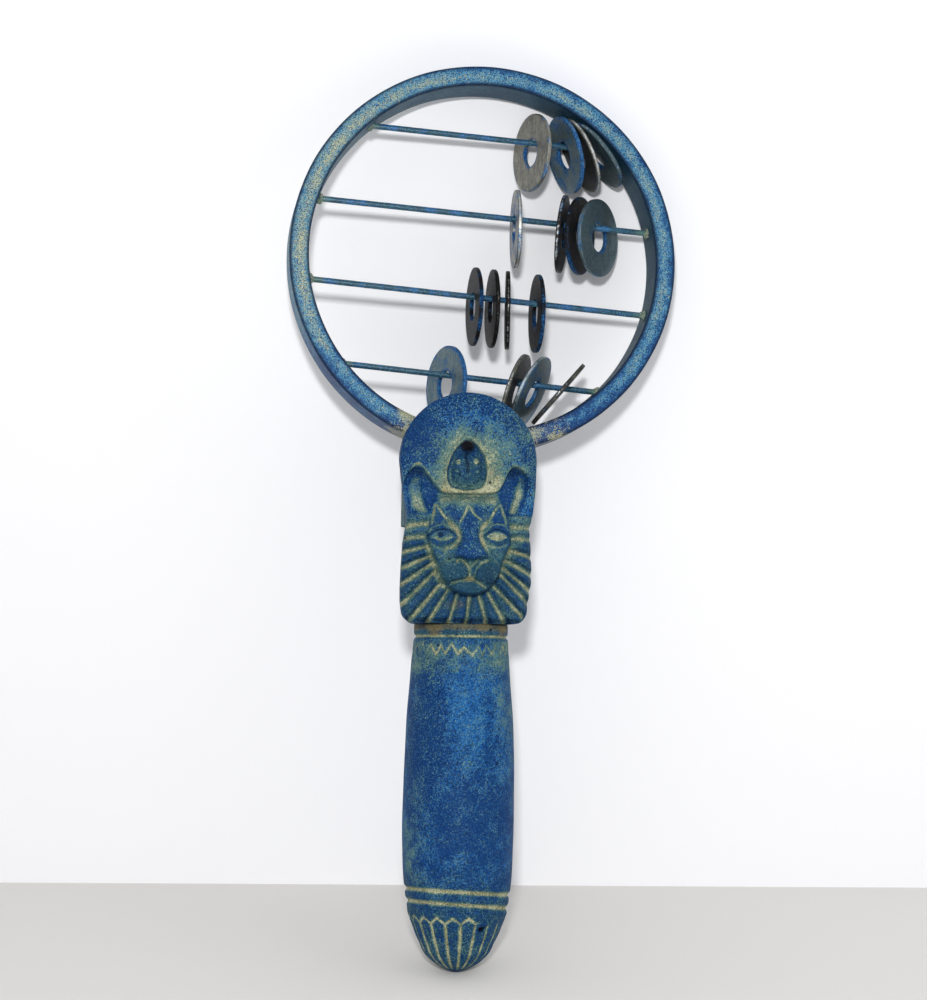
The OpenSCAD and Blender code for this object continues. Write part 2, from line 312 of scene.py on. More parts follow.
def glazed_plaster(name, paint):
    """Cast plaster under matt blue paint, sponged with teal dots, with a sandy wash left in the carving.

    The eye sees royal blue with teal and sandy dots of about half a millimetre, a murky green
    where hands have rubbed the relief, green to pale sand where the wash settled, and a few dark
    casting pits a millimetre across.
    """
    grains = (0.55, 1.0, 0.6), (0.5, 1.0, 0.7), (6.0, 5.0, 0.7), (1.7, 2.0, 0.65), (0.75, 2.0, 0.75)
    material, tree, place, lumps, stored = grained_material(
        name, grains, ("sand", "deep", "murk", "sponge", "rust"))
    grain, dots, clump, blotch, scuff = lumps
    sand, deep, murk, sponge, rust = stored
    tone = weigh(tree, 0.0, (clump, 0.9), (grain, 0.7), (deep, -1.0))
    cover = weigh(tree, -1.3, (clump, 1.0), (murk, 1.0), (blotch, 1.6))
    specks = weigh(tree, -0.25, (clump, 0.5), (dots, 1.0))
    dark_most = weigh(tree, 0.135, (sponge, 0.9))
    dark_dots = add(tree, "MapRange", (grain, 0.46, 0.36, 0.0, dark_most), interpolation_type="SMOOTHSTEP")
    dark_dots = add(tree, "Math", (dark_dots, 0.85), operation="MINIMUM")
    colour = lay_coats(
        tree, paint.deep_blue,
        (tone, 0.66, 0.95, 1.0, paint.blue),
        (cover, 0.1, 0.9, 0.85, paint.murk),
        (specks, 0.53, 0.64, weigh(tree, 0.0, (sponge, 0.85)), paint.teal),
        (specks, 0.64, 0.76, weigh(tree, 0.0, (sponge, 0.6)), paint.sand))
    colour = add(tree, "Mix", {0: dark_dots, 6: colour, 7: paint.night}, output=2, data_type="RGBA")

    broken = weigh(tree, -1.2, (dots, 1.1), (clump, 1.3))
    wash = weigh(tree, broken, (sand, 1.0))
    dirt = weigh(tree, rust, (broken, 0.7))
    sand_tone = lay_coats(
        tree, paint.ochre,
        (clump, 0.4, 0.62, 1.0, paint.sand),
        (grain, 0.5, 0.66, 0.8, paint.cream),
        (grain, 0.42, 0.32, 0.6, paint.murk))
    cell = add(tree, "TexVoronoi", {"Vector": place, "Scale": 1 / (7 * MM)}, output="Distance")
    chosen = add(tree, "MapRange", (cell.node.outputs["Color"], 0.62, 0.66), interpolation_type="SMOOTHSTEP")
    pit = add(tree, "MapRange", (cell, 0.1, 0.06, 0.0, chosen), interpolation_type="SMOOTHSTEP")
    # The deep mark lays night blue for dark paint and for painted shade in the head's hollows, under its
    # overhangs and where it faces down; the head's sand mark also paints highlight where it faces up and on
    # the disc's lower rim
    colour = lay_coats(
        tree, colour,
        (deep, 0.45, 1.0, 0.95, paint.night),
        (wash, 0.1, 0.62, 0.88, paint.verdigris),
        (wash, 0.5, 1.0, 0.95, sand_tone),
        (dirt, 0.25, 0.9, 0.85, paint.rust),
        (scuff, 0.55, 0.74, 0.28, paint.teal),
        (scuff, 0.46, 0.3, 0.65, paint.night),
        (deep, 0.7, 1.3, 0.9, paint.night),
        (deep, 1.02, 1.25, 0.9, linear("#0b0a0c")),
        (cell, 0.1, 0.06, weigh(tree, 0.0, (chosen, 0.8)), paint.night))
    height = weigh(tree, grain, (clump, 2.0), (pit, -3.0))
    return finish_surface(material, tree, colour, grain, (0.5, 0.7), height, 0.15, 0.06)


def painted_hoop_steel(paint):
    """Bent flat bar under matt blue paint.

    The eye sees blue with sponged teal and sandy dots, thickest along the middle, painted shade along the
    edges and over the inner wall, and a sandy crust by the head.
    """
    grains = (0.5, 1.0, 0.6), (0.45, 1.0, 0.7), (8.0, 5.0, 0.7), (2.2, 2.0, 0.65), (0.75, 2.0, 0.75)
    material, tree, _, lumps, stored = grained_material(
        "painted flat bar", grains, ("dust", "edge", "shade", "crust"))
    grain, dots, clump, blotch, scuff = lumps
    dust, edge, shade, crust = stored
    tone = weigh(tree, -0.3, (clump, 1.0), (grain, 1.0), (dust, 0.34), (blotch, 0.6))
    specks = weigh(tree, -0.25, (clump, 0.5), (dots, 1.0), (dust, 0.2))
    # The edge mark darkens the edges as painted shade
    worn = weigh(tree, -0.5, (edge, 1.0), (grain, 1.0))
    crusted = weigh(tree, -2.1, (clump, 2.6), (dots, 1.6), (crust, 1.0))
    sand_tone = lay_coats(
        tree, paint.ochre,
        (grain, 0.36, 0.5, 1.0, paint.sand),
        (grain, 0.52, 0.68, 0.6, paint.cream))
    colour = lay_coats(
        tree, paint.deep_blue,
        (tone, 0.74, 1.12, 1.0, paint.hoop_blue),
        (tone, 0.94, 1.24, 1.0, paint.pale_blue),
        (specks, 0.5, 0.64, 0.8, paint.teal),
        (specks, 0.62, 0.75, 0.85, paint.sand),
        (specks, 0.74, 0.86, 0.8, paint.cream),
        (grain, 0.47, 0.36, 0.85, paint.night),
        (scuff, 0.56, 0.72, 0.4, paint.teal),
        (scuff, 0.46, 0.32, 0.75, paint.deep_blue),
        # Painted shade: murk over the inner wall and night blue along the edges
        (shade, 0.0, 1.0, 0.85, paint.murk),
        (worn, 0.4, 0.9, 0.85, paint.night),
        (crusted, 0.5, 1.0, 0.85, sand_tone))
    return finish_surface(material, tree, colour, grain, (0.42, 0.65), grain, 0.08, 0.14)


def painted_rod_steel(paint):
    """Drawn steel rod: the eye sees thin blue-green paint, dark in specks, with a green bloom at its ends."""
    grains = (0.5, 1.0, 0.6), (5.0, 4.0, 0.6)
    material, tree, _, (grain, clump), (crust,) = grained_material("painted steel rod", grains, ("crust",))
    colour = lay_coats(
        tree, paint.rod_teal,
        (clump, 0.46, 0.66, 1.0, paint.hoop_blue),
        (grain, 0.45, 0.35, 0.7, paint.night),
        (grain, 0.54, 0.64, 0.6, paint.teal),
        (weigh(tree, -0.5, (crust, 1.0), (grain, 1.0)), 0.5, 0.95, 0.7, paint.verdigris))
    return finish_surface(material, tree, colour, grain, (0.28, 0.45), grain, 0.04, 0.45)


def sandy_weld(paint):
    """Lump of brazing: the eye sees green-blue paint with a sandy wash over the high spots."""
    grains = (0.6, 2.0, 0.7), (1.8, 3.0, 0.6)
    material, tree, _, (grain, clump), _ = grained_material("sandy weld bead", grains)
    colour = lay_coats(
        tree, paint.rod_teal,
        (clump, 0.4, 0.6, 1.0, paint.verdigris),
        (grain, 0.44, 0.6, 0.85, paint.sand),
        (grain, 0.42, 0.3, 0.7, paint.night))
    return finish_surface(material, tree, colour, grain, (0.5, 0.8), grain, 0.1, 0.22)


def washer_steel(paint, name, bare, stain, oil_and_shade, gloss):
    """Punched steel washer: the eye sees brushed grey metal, dark film, and blue paint by its edges.

    The mesh stores how much blue paint and dark film each point carries, the film also being painted shade on
    jingles that lie in shade, and where the cut edge is bright.
    """
    grains = (0.5, 1.0, 0.6), (4.5, 4.0, 0.65), (0.9, 2.0, 0.7)
    material, tree, place, lumps, stored = grained_material(name, grains, ("blue", "dark", "bright"))
    grain, clump, mottle = lumps
    blue, dark, bright = stored
    stretched = add(tree, "Mapping", {"Vector": place, "Scale": (1, 1, 0.07)})
    brush = add(tree, "TexNoise", {
        "Vector": stretched, "Scale": 1 / (0.4 * MM), "Detail": 2.0, "Roughness": 0.7})
    brushed = weigh(tree, -1.3, (mottle, 1.0), (clump, 1.0), (brush, 1.6))
    aged = weigh(tree, mottle, (dark, -0.25))
    film, shine, cover = [
        add(tree, "MapRange", (value, begin, full, 0.0, most), interpolation_type="SMOOTHSTEP")
        for value, begin, full, most in (
            (weigh(tree, -0.5, (clump, 1.0), (mottle, 0.3), (dark, 1.0)), 0.25, 1.05, 0.97),
            (weigh(tree, -1.25, (clump, 1.5), (mottle, 1.0), (bright, 1.0)), 0.4, 0.9, 1.0),
            (weigh(tree, -1.4, (clump, 1.8), (grain, 1.0), (blue, 1.0)), 0.36, 0.7, 0.95))]
    coat = lay_coats(
        tree, paint.deep_blue,
        (grain, 0.38, 0.56, 1.0, paint.hoop_blue),
        (grain, 0.54, 0.68, 0.75, paint.pale_blue),
        (aged, 0.5, 0.25, 0.8, paint.night))
    colour = lay_coats(tree, linear(bare), (brushed, 0.25, 0.75, 1.0, linear(stain)))
    for share, tint in ((film, linear(oil_and_shade)), (shine, linear("#c6cac8")), (cover, coat)):
        colour = add(tree, "Mix", {0: share, 6: colour, 7: tint}, output=2, data_type="RGBA")
    hidden = add(tree, "Math", (cover, weigh(tree, film, (shine, -1.0))), operation="MAXIMUM")
    metallic = weigh(tree, 0.9, (hidden, -0.9))
    return finish_surface(material, tree, colour, grain, (0.36, 0.52), mottle, 0.03, gloss, metallic)


def plain_steel():
    """Cut steel bar, as drawn: the eye sees grey with fine marks."""
    material, tree, _, (grain,), _ = grained_material("drawn steel bar", ((0.4, 3.0, 0.7),))
    colour = lay_coats(tree, linear("#5d6064"), (grain, 0.4, 0.6, 1.0, linear("#7b7e82")))
    return finish_surface(material, tree, colour, grain, (0.35, 0.5), grain, 0.02, metallic=1.0)


def pale_stage(name, colour):
    """Matt painted board of the stage: the eye sees its front, and looks through its back."""
    material, tree = new_material(name)
    board = add(tree, "BsdfDiffuse", {"Color": colour})
    clear = add(tree, "BsdfTransparent")
    behind = add(tree, "NewGeometry", output="Backfacing")
    add(tree, "OutputMaterial", {"Surface": add(tree, "MixShader", (behind, board, clear))})
    return material


# Settings that a user would change

def colour_setting(label, words, code):
    """Colour property whose default is an sRGB hex value."""
    return FloatVectorProperty(
        name=label, description=words, subtype="COLOR", size=4, min=0, max=1, default=linear(code))


class SistrumPaint(bpy.types.PropertyGroup):
    deep_blue: colour_setting("Deep blue", "Darkest field of the plaster's paint", "#0f376c")
    blue: colour_setting("Blue", "Main blue of the paint", "#1e5b98")
    pale_blue: colour_setting("Pale blue", "Lighter sponged dots", "#4d88b0")
    teal: colour_setting("Teal", "Green-blue sponged dots", "#4f8692")
    # Night blue also paints shade along the hoop's edges and in the head's hollows
    night: colour_setting("Night blue", "Dark dots and rubbed edges", "#081c36")
    sand: colour_setting("Sand", "Sandy wash in the carving", "#a2a486")
    ochre: colour_setting("Ochre", "Deeper tone of the wash", "#857a50")
    cream: colour_setting("Cream", "Palest tone of the wash", "#c0bd99")
    verdigris: colour_setting("Verdigris", "Green tone where the wash is thin", "#547468")
    # Murk also paints shade on the hoop's inner wall
    murk: colour_setting("Murk", "Rubbed green-grey paint over the relief", "#234350")
    rust: colour_setting("Rust", "Brown dirt in the corners", "#6f5f3a")
    hoop_blue: colour_setting("Hoop blue", "Paint of the hoop", "#1d5a90")
    rod_teal: colour_setting("Rod teal", "Paint of the rods", "#17445a")


class SistrumShape(bpy.types.PropertyGroup):
    hoop_edge: FloatProperty(
        name="Hoop edge", description="Rounding of the hoop's edges", unit="LENGTH", default=0.8 * MM)
    jingle_edge: FloatProperty(
        name="Jingle edge", description="Rounding of a jingle's edges", unit="LENGTH", default=0.3 * MM)
    petals: IntProperty(name="Petals", description="Number of petals on the pommel", default=19, min=8)
    zigzags: IntProperty(name="Zigzags", description="Number of points in the zigzag band", default=25, min=8)


class SistrumStage(bpy.types.PropertyGroup):
    lean_back: FloatProperty(
        name="Lean back", description="Lean of the sistrum against the wall", subtype="ANGLE",
        default=math.radians(13.7))
    lean_side: FloatProperty(
        name="Lean sideways", description="Lean of the sistrum along the wall", subtype="ANGLE",
        default=math.radians(-2.9))
    wall_turn: FloatProperty(
        name="Wall turn", description="Turn of the wall about the upright", subtype="ANGLE",
        default=math.radians(-9.3))
    wall_colour: colour_setting("Wall", "Colour of the wall", "#f4f4f6")
    floor_colour: colour_setting("Floor", "Colour of the floor", "#dcdad6")


# Hoop, rods and beads

HOOP_POINTS = node_points("hoop")
HOOP_CENTRE = (HOOP_POINTS.min(axis=0) + HOOP_POINTS.max(axis=0)) / 2
HOOP_RADII = np.hypot(*(HOOP_POINTS - HOOP_CENTRE)[:, [0, 2]].T)
HOOP_OUTER = HOOP_RADII.max()
HOOP_HALF_WALL = (HOOP_OUTER - HOOP_RADII.min()) / 2
HOOP_HALF_DEPTH = np.abs(HOOP_POINTS[:, 1]).max()
FOOT_ANGLE = 1.5 * np.pi
HOOP_STEPS = 480
ROD_STEPS, ROD_SIDES = 150, 20
BEAD_RINGS, BEAD_SIDES = 18, 28
DUST_DEGREES = [0, 45, 90, 135, 180, 200, 218, 240, 295, 325, 360]
DUST_LEVELS = [0.2, 0.2, 0.2, 0.8, 0.92, 0.65, 0.0, 0.0, -0.55, 0.15, 0.2]


class SISTRUM_OT_hoop(bpy.types.Operator):
    """Bends the flat bar of the hoop"""
    bl_idname = "sistrum.hoop"
    bl_label = "Hoop"

    def execute(self, context):
        """A rounded rectangle carried round a circle; small sines make the bar look hand bent."""
        edge = context.scene.sistrum_shape.hoop_edge / MM
        out, fore = rounded_section(HOOP_HALF_WALL, HOOP_HALF_DEPTH, edge, flat_steps=9, arc_steps=6).T
        turns = np.linspace(0, 1, HOOP_STEPS, endpoint=False)[:, None]
        angle = FULL_TURN * turns
        radius = HOOP_OUTER - HOOP_HALF_WALL + 0.12 * ripple(turns, [2, 3, 5, 9, 17], 3) + out
        depth = fore * (1 + 0.006 * ripple(turns, [3, 4, 7, 13], 4))
        grid = np.stack([radius * np.cos(angle), depth, radius * np.sin(angle)], axis=-1) + HOOP_CENTRE

        # Painted shade along the edges, sandy crust by the head, painted shade inside, and dust along the
        # middle
        near_edge = np.hypot(greatest(np.abs(out) - HOOP_HALF_WALL + 2 * edge, 0),
                             greatest(np.abs(fore) - HOOP_HALF_DEPTH + 2 * edge, 0))
        edge_shade = smooth(1.6 * edge, 2.6 * edge, near_edge)
        from_foot = np.degrees(np.abs((angle - FOOT_ANGLE + np.pi) % FULL_TURN - np.pi))
        crust = smooth(36, 21, from_foot) * np.where(np.cos(angle) < 0, 1.0, 0.68)
        inward = smooth(0.0, 0.7, -out / HOOP_HALF_WALL) * smooth(1.0, 0.96, np.abs(fore) / HOOP_HALF_DEPTH)
        shade = inward * (0.75 + 0.2 * np.cos(angle))
        lane = bell(out / HOOP_HALF_WALL + 0.12, 0.5)
        dust = np.interp(np.degrees(angle), DUST_DEGREES, DUST_LEVELS) + 0.75 * lane - 0.4
        piece = add_piece(
            "hoop_band", grid, [grid_faces(*grid.shape[:2], True)], "frame", "painted_hoop",
            painted_hoop_steel(context.scene.sistrum_paint), edge=edge_shade, crust=crust, shade=shade, dust=dust)
        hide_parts("hoop")
        return {"FINISHED"}


class SISTRUM_OT_rods(bpy.types.Operator):
    """Draws the four cross rods"""
    bl_idname = "sistrum.rods"
    bl_label = "Rods"

    def execute(self, context):
        """A circle carried along each rod's axis, its radius rippled a little by the paint."""
        material = painted_rod_steel(context.scene.sistrum_paint)
        turn = np.linspace(0, FULL_TURN, ROD_SIDES, endpoint=False)[:, None]
        along = np.linspace(-1, 1, ROD_STEPS)[:, None]
        for seed, name in enumerate(ROD_NAMES):
            centre, axes, half = own_axes(name)
            radius = half[2] * (0.97 + 0.03 * ripple(along, [5, 9, 14, 23], seed))
            ring = np.cos(turn) * axes[1] + np.sin(turn) * np.cross(axes[0], axes[1])
            rings = centre + along[..., None] * half[0] * axes[0] + radius[..., None] * ring
            points, faces = skin_rings(rings)
            crust = skin_values(rings, smooth(0.8, 0.99, np.abs(along)), 1)
            piece = add_piece(name + "_bar", points, faces, "frame", "painted_rod", material, crust=crust)
            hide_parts(name)
        return {"FINISHED"}


class SISTRUM_OT_beads(bpy.types.Operator):
    """Sets the weld beads at the rod ends"""
    bl_idname = "sistrum.beads"
    bl_label = "Weld beads"

    def execute(self, context):
        """A ball at each rod end, flattened along the rod, its radius rippled by latitude and turn."""
        low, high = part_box("weld_beads")
        radius = (high.y - low.y) / 2 / MM
        latitude = np.linspace(-0.5, 0.5, BEAD_RINGS + 2)[1:-1, None] * np.pi
        turn = np.linspace(0, 1, BEAD_SIDES, endpoint=False)[None]
        angle = FULL_TURN * turn
        parts, faces, start = [], [], 0
        for seed, name in enumerate(ROD_NAMES * 2):
            centre, axes, half = own_axes(name)
            side = 1 if seed < len(ROD_NAMES) else -1
            lump = 1 + 0.14 * ripple(turn + latitude / 9, [2, 3, 5], seed) * np.cos(latitude)
            lump = (lump + 0.1 * ripple(latitude / 3, [2, 3], seed + 20)) * radius * 0.9
            along, across = 0.85 * lump * np.sin(latitude), lump * np.cos(latitude)
            ball = np.stack([along, across * np.cos(angle), across * np.sin(angle)], axis=-1)
            ball = ball @ np.stack([axes[0], axes[1], np.cross(axes[0], axes[1])])
            points, skin = skin_rings(ball + centre + side * (half[0] - 0.2 * radius) * axes[0])
            parts.append(points)
            faces += [part + start for part in skin]
            start += len(points)
        piece = add_piece("weld_bead_lumps", np.concatenate(parts), faces, "frame", "weld_bead",
                          sandy_weld(context.scene.sistrum_paint))
        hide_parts("weld_beads")
        return {"FINISHED"}


# Jingles

JINGLE_STEPS = 112

# Name, bare steel, stain, colour of the dark film of oil and of painted shade, and gloss of each finish
JINGLE_FINISHES = {
    "steel_jingle": ("worn bare washer steel", "#8b8a80", "#66655f", "#181b1b", 0.1),
    "painted_jingle": ("washer steel with blue paint", "#6c7d80", "#4d6570", "#25383f", 0.15),
    "dark_jingle": ("oil-blackened washer steel", "#34302f", "#252529", "#121112", 0.04),
}

# Share of blue paint on the face and by the edges, share of dark oil film, which on 1c and the third row is
# also painted shade, and brightness of the cut edge
JINGLE_WEAR = {
    "1a": (0.05, 0.6, 0.12, 0.55), "1b": (0.38, 0.45, 0.1, 0.3),
    "1c": (0.0, 0.5, 0.9, 0.75), "1d": (0.1, 0.5, 0.8, 0.5),
    "2a": (0.45, 0.35, 0.25, 0.9), "2b": (0.1, 0.4, 0.85, 0.55),
    "2c": (0.08, 0.55, 0.8, 0.35), "2d": (0.06, 0.6, 0.34, 0.55),
    "3a": (0.16, 0.42, 0.95, 0.2), "3b": (0.0, 0.2, 1.0, 0.35),
    "3c": (0.0, 0.25, 1.0, 0.4), "3d": (0.16, 0.5, 0.95, 0.3),
    "4a": (0.28, 0.7, 0.1, 0.1), "4b": (0.0, 0.3, 0.95, 0.6),
    "4c": (0.34, 0.4, 0.1, 0.8), "4d": (0.0, 0.3, 0.9, 0.35),
}


class SISTRUM_OT_jingles(bpy.types.Operator):
    """Punches the sixteen loose jingles"""
    bl_idname = "sistrum.jingles"
    bl_label = "Jingles"

    def execute(self, context):
        """A rounded rectangle carried round each jingle's hole, with a slight saddle warp."""
        paint = context.scene.sistrum_paint
        edge = context.scene.sistrum_shape.jingle_edge / MM
        finishes = {slot: washer_steel(paint, *finish) for slot, finish in JINGLE_FINISHES.items()}
        slots = {row["node"]: row["material_slot"] for row in frame["record"]["subparts"]}
        turns = np.linspace(0, 1, JINGLE_STEPS, endpoint=False)[:, None]
        angle = FULL_TURN * turns
        for seed, name in enumerate(JINGLE_NAMES):
            centre, axes, half = own_axes(name)
            axes = np.stack([axes[0], np.cross(axes[0], axes[2]), axes[2]])
            reach = np.linalg.norm((node_points(name) - centre) @ axes[:2].T, axis=1)
            outer, hole = reach.max(), reach.min()
            half_wall = (outer - hole) / 2
            out, up = rounded_section(half_wall, half[2], edge, flat_steps=9, arc_steps=5).T
            radius = (outer + hole) / 2 + out
            height = up + 0.06 * (radius / outer) ** 2 * ripple(turns, [2, 3], seed)
            grid = np.stack([radius * np.cos(angle), radius * np.sin(angle), height], axis=-1) @ axes + centre
            face_blue, rim_blue, oil_and_shade, cut = JINGLE_WEAR[name[-2:]]
            outside = smooth(0.7, 0.95, out / half_wall)
            rim = greatest(smooth(1.6, 0.2, radius - hole), smooth(1.6, 0.2, outer - radius))
            patchy = 0.25 * ripple(turns, [1, 2, 3], seed + 40)
            piece = add_piece(
                name + "_washer", grid, [grid_faces(*grid.shape[:2], True)], name, slots[name],
                finishes[slots[name]],
                blue=face_blue + (rim_blue + patchy) * rim - 0.5 * cut * outside,
                bright=(cut + 0.5 * patchy) * outside * bell(up / half[2], 0.75),
                dark=oil_and_shade * (1 - 0.6 * cut * outside))
            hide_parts(name)
        return {"FINISHED"}


# Carved head: outlines and lines in millimetres, x to the right of the head's middle and z above the tip

HEAD_SHIFT = -0.9
DISC_X, DISC_Z, DISC_R = 0.4, 184.2, 24.9
BED_Z = 195.5
WIG_Z = 161.6
WIG_HALF, NECK_HALF = 22.1, 19.8

DISC_EDGE = [
    (-23.6, 174.5), (-22.8, 176.8), (-22.0, 178.9), (-20.4, 180.7), (-18.6, 181.4), (-16.5, 180.5),
    (-14.7, 178.1), (-12.6, 175.2), (-10.8, 173.0), (-9.0, 172.0), (-4.5, 171.7), (0.0, 171.8), (5.0, 172.0),
    (9.2, 172.5), (11.1, 173.6), (12.8, 176.3), (14.5, 179.9), (16.2, 181.9), (18.2, 181.8), (20.5, 180.3),
    (21.9, 178.3), (23.6, 174.8)]
EAR_LEFT = [
    (-20.6, 164.4), (-22.2, 171.0), (-22.6, 176.2), (-21.9, 178.7), (-20.3, 180.6), (-18.6, 181.3),
    (-16.5, 180.4), (-14.7, 178.0), (-12.6, 175.1), (-11.0, 172.6), (-12.0, 169.6), (-13.6, 166.5),
    (-14.2, 164.3)]
STRIP_LEFT = [
    (-21.5, 175.2), (-21.1, 171.1), (-19.8, 165.9), (-14.5, 164.6), (-15.6, 168.5), (-16.7, 173.3),
    (-17.2, 177.2), (-19.6, 177.8)]
EAR_RIGHT = [
    (11.3, 172.4), (12.8, 176.1), (14.5, 179.8), (16.1, 181.8), (18.1, 181.7), (20.4, 180.2), (21.7, 178.3),
    (21.9, 174.0), (21.2, 170.3), (18.7, 165.0), (15.0, 164.5), (13.2, 167.0), (12.0, 169.8)]
STRIP_RIGHT = [
    (18.9, 178.9), (17.4, 175.6), (16.9, 172.1), (15.5, 168.6), (14.9, 165.2), (17.6, 165.4), (19.9, 170.3),
    (21.2, 175.0), (20.8, 178.0)]
FACE = [
    (-14.3, 159.4), (-14.8, 156.5), (-13.6, 152.4), (-12.6, 149.7), (-11.2, 146.3), (-10.2, 142.2),
    (-7.7, 138.9), (-4.0, 136.5), (1.0, 135.4), (6.5, 137.0), (10.3, 140.8), (11.9, 144.4), (12.9, 148.2),
    (14.6, 151.7), (15.6, 154.6), (15.4, 158.5), (14.6, 163.0), (13.0, 167.2), (10.6, 170.8), (0.2, 171.6),
    (-9.8, 170.6), (-12.2, 167.2), (-13.6, 163.0)]
BRIDGE = [
    (-4.6, 163.5), (-3.9, 160.5), (-2.7, 156.8), (-3.7, 153.8), (-4.7, 151.6), (-5.3, 150.0), (-4.5, 148.9),
    (-2.4, 148.5), (0.5, 147.9), (3.4, 148.5), (5.6, 148.9), (6.4, 150.0), (5.8, 152.0), (4.5, 154.1),
    (3.4, 156.9), (4.1, 160.5), (4.8, 163.5)]
NICHE = [
    (-0.6, 191.3), (-2.4, 190.6), (-4.0, 189.0), (-5.6, 186.8), (-7.0, 183.8), (-7.9, 180.6), (-8.0, 177.6),
    (-7.2, 175.2), (-5.4, 173.7), (-0.8, 173.2), (3.9, 173.8), (5.6, 175.8), (6.3, 179.0), (6.1, 182.8),
    (5.0, 186.2), (3.2, 188.9), (1.3, 190.7)]
MANE_GROOVES = [
    ((-14.5, 161.2), (-22.4, 160.2)), ((-15.0, 156.4), (-23.4, 155.8)), ((-13.7, 153.2), (-23.8, 150.6)),
    ((-13.0, 149.6), (-24.0, 144.9)), ((-12.2, 147.2), (-24.0, 138.7)), ((-11.2, 144.3), (-23.4, 131.9)),
    ((-9.4, 139.9), (-20.2, 126.6)), ((-6.7, 137.5), (-13.8, 125.8)), ((-3.6, 135.3), (-6.3, 125.3)),
    ((0.9, 134.8), (0.1, 125.3)), ((4.7, 135.2), (7.5, 125.3)), ((7.9, 136.3), (14.2, 125.8)),
    ((10.1, 138.8), (20.5, 128.3)), ((12.3, 143.3), (23.0, 132.7)), ((13.0, 145.9), (24.0, 137.0)),
    ((13.8, 148.6), (24.2, 143.0)), ((15.0, 152.3), (24.2, 149.6)), ((16.6, 156.3), (24.2, 156.4)),
    ((16.2, 160.6), (23.4, 160.4))]
CHEVRONS = [
    [(-13.2, 161.0), (-12.6, 164.6), (-11.9, 167.8), (-9.5, 164.4), (-6.9, 161.2)],
    [(-3.4, 161.6), (-1.8, 164.2), (-0.3, 167.4), (1.8, 164.6), (4.4, 162.4)],
    [(7.2, 161.6), (8.8, 165.0), (11.3, 167.9), (12.6, 164.8), (13.7, 161.5)]]
CRESCENTS = [
    [(-6.9, 161.2), (-4.9, 159.2), (-3.6, 156.6), (-4.4, 153.7), (-8.4, 152.0)],
    [(6.4, 161.6), (4.7, 159.4), (4.4, 156.6), (5.3, 153.6), (7.0, 151.2), (8.2, 149.4)]]
LID_CREASES = [
    [(-14.4, 157.9), (-12.6, 159.6), (-10.2, 160.6), (-7.4, 160.4), (-5.4, 158.7)],
    [(6.6, 158.8), (8.4, 160.6), (10.8, 161.2), (13.2, 160.6), (14.8, 158.9)]]
UNDER_LIDS = [
    [(-13.4, 153.6), (-10.4, 152.2), (-7.6, 152.6), (-5.0, 153.9)],
    [(6.4, 153.5), (9.0, 153.0), (12.0, 153.1), (14.8, 154.2)]]
NOSTRIL_WINGS = [
    [(-4.4, 147.4), (-3.4, 148.4), (-1.8, 148.2), (-0.5, 146.2), (0.3, 143.6), (0.4, 141.4)],
    [(6.9, 148.0), (4.4, 147.0), (2.8, 144.8), (1.9, 141.7)]]
NOSE_UNDER = [(-2.3, 147.8), (0.6, 145.6), (3.1, 147.9)]
PHILTRUM = [(0.7, 145.2), (0.7, 141.4)]
MOUTH = [(-6.0, 139.6), (-4.2, 140.3), (-2.2, 140.8), (0.6, 141.5), (2.7, 140.6), (4.6, 139.5), (6.2, 138.6)]
COBRA_DOTS = [(-4.1, 183.2, 1.1), (2.5, 183.6, 1.3), (-4.7, 180.0, 0.85), (2.8, 179.9, 0.8)]
COBRA_BODY = [(-0.2, 187.6), (-1.4, 185.0), (-0.6, 182.2), (-0.9, 177.0)]
HALO_STREAK = [(-7.5, 188.5), (-3.5, 191.5)]

# Eyes: middle, level, half width, and heights of the upper and lower lid
EYES = [(-9.5, 156.35, 4.5, 2.1, 1.9), (10.35, 156.6, 4.2, 2.1, 1.8)]

# Lines cut into the face, with the depth and width of the cut
FACE_CUTS = {
    "chevron": ([curve(line) for line in CHEVRONS], 0.6, 0.5),
    "crescent": ([curve(line) for line in CRESCENTS], 0.9, 1.1),
    "crease": ([curve(line) for line in LID_CREASES], 0.5, 0.45),
    "under_lid": ([curve(line) for line in UNDER_LIDS], 0.45, 0.6),
    "wing": ([curve(line) for line in NOSTRIL_WINGS] + [PHILTRUM], 1.0, 0.5),
    "nose_under": ([NOSE_UNDER], 0.6, 0.5),
    "mouth": ([curve(MOUTH)], 1.2, 0.55),
}

# Spots of sandy wash and of rust: strength, middle, level, half width and half height
HALO_SPOTS = [(0.95, 9.0, 176.8, 6.5, 6.5), (0.58, -10.0, 180.0, 6.0, 8.0)]
LIP_SPOTS = [(1.2, 0.7, 141.4, 1.6, 1.0), (0.6, 0.5, 146.8, 1.7, 0.9)]
DISC_RUST = [(0.45, -9.5, 175.5, 4.0, 2.5), (0.4, 8.5, 179.5, 3.5, 4.5)]

# Steps across the front, the face's middle level, and depths and corners of the disc and the block behind
FRONT_COLUMNS = 226
FACE_Z = 156
DISC_BACK, DISC_CORNER = -15.1, 0.3
BLOCK_FRONT, BLOCK_BACK, BLOCK_CORNER = -12.5, 17.0, 11.0

# Half widths of the head's front by height, left and right, up to the disc's widest level
LEFT_LEVELS = [126, 128.5, 133, 138, 145, 154, 159, 162, 165, 171, 178, DISC_Z]
LEFT_WIDTHS = [22.4, 22.8, 23.4, 23.5, 23.3, 22.8, 22.0, 21.7, 21.6, 22.8, 23.8, DISC_R - DISC_X]
RIGHT_LEVELS = [126, 128, 134, 140, 146, 155, 160, 164, 173, DISC_Z]
RIGHT_WIDTHS = [21.8, 22.0, 22.8, 23.7, 23.8, 23.3, 22.9, 23.8, 24.9, DISC_R + DISC_X]


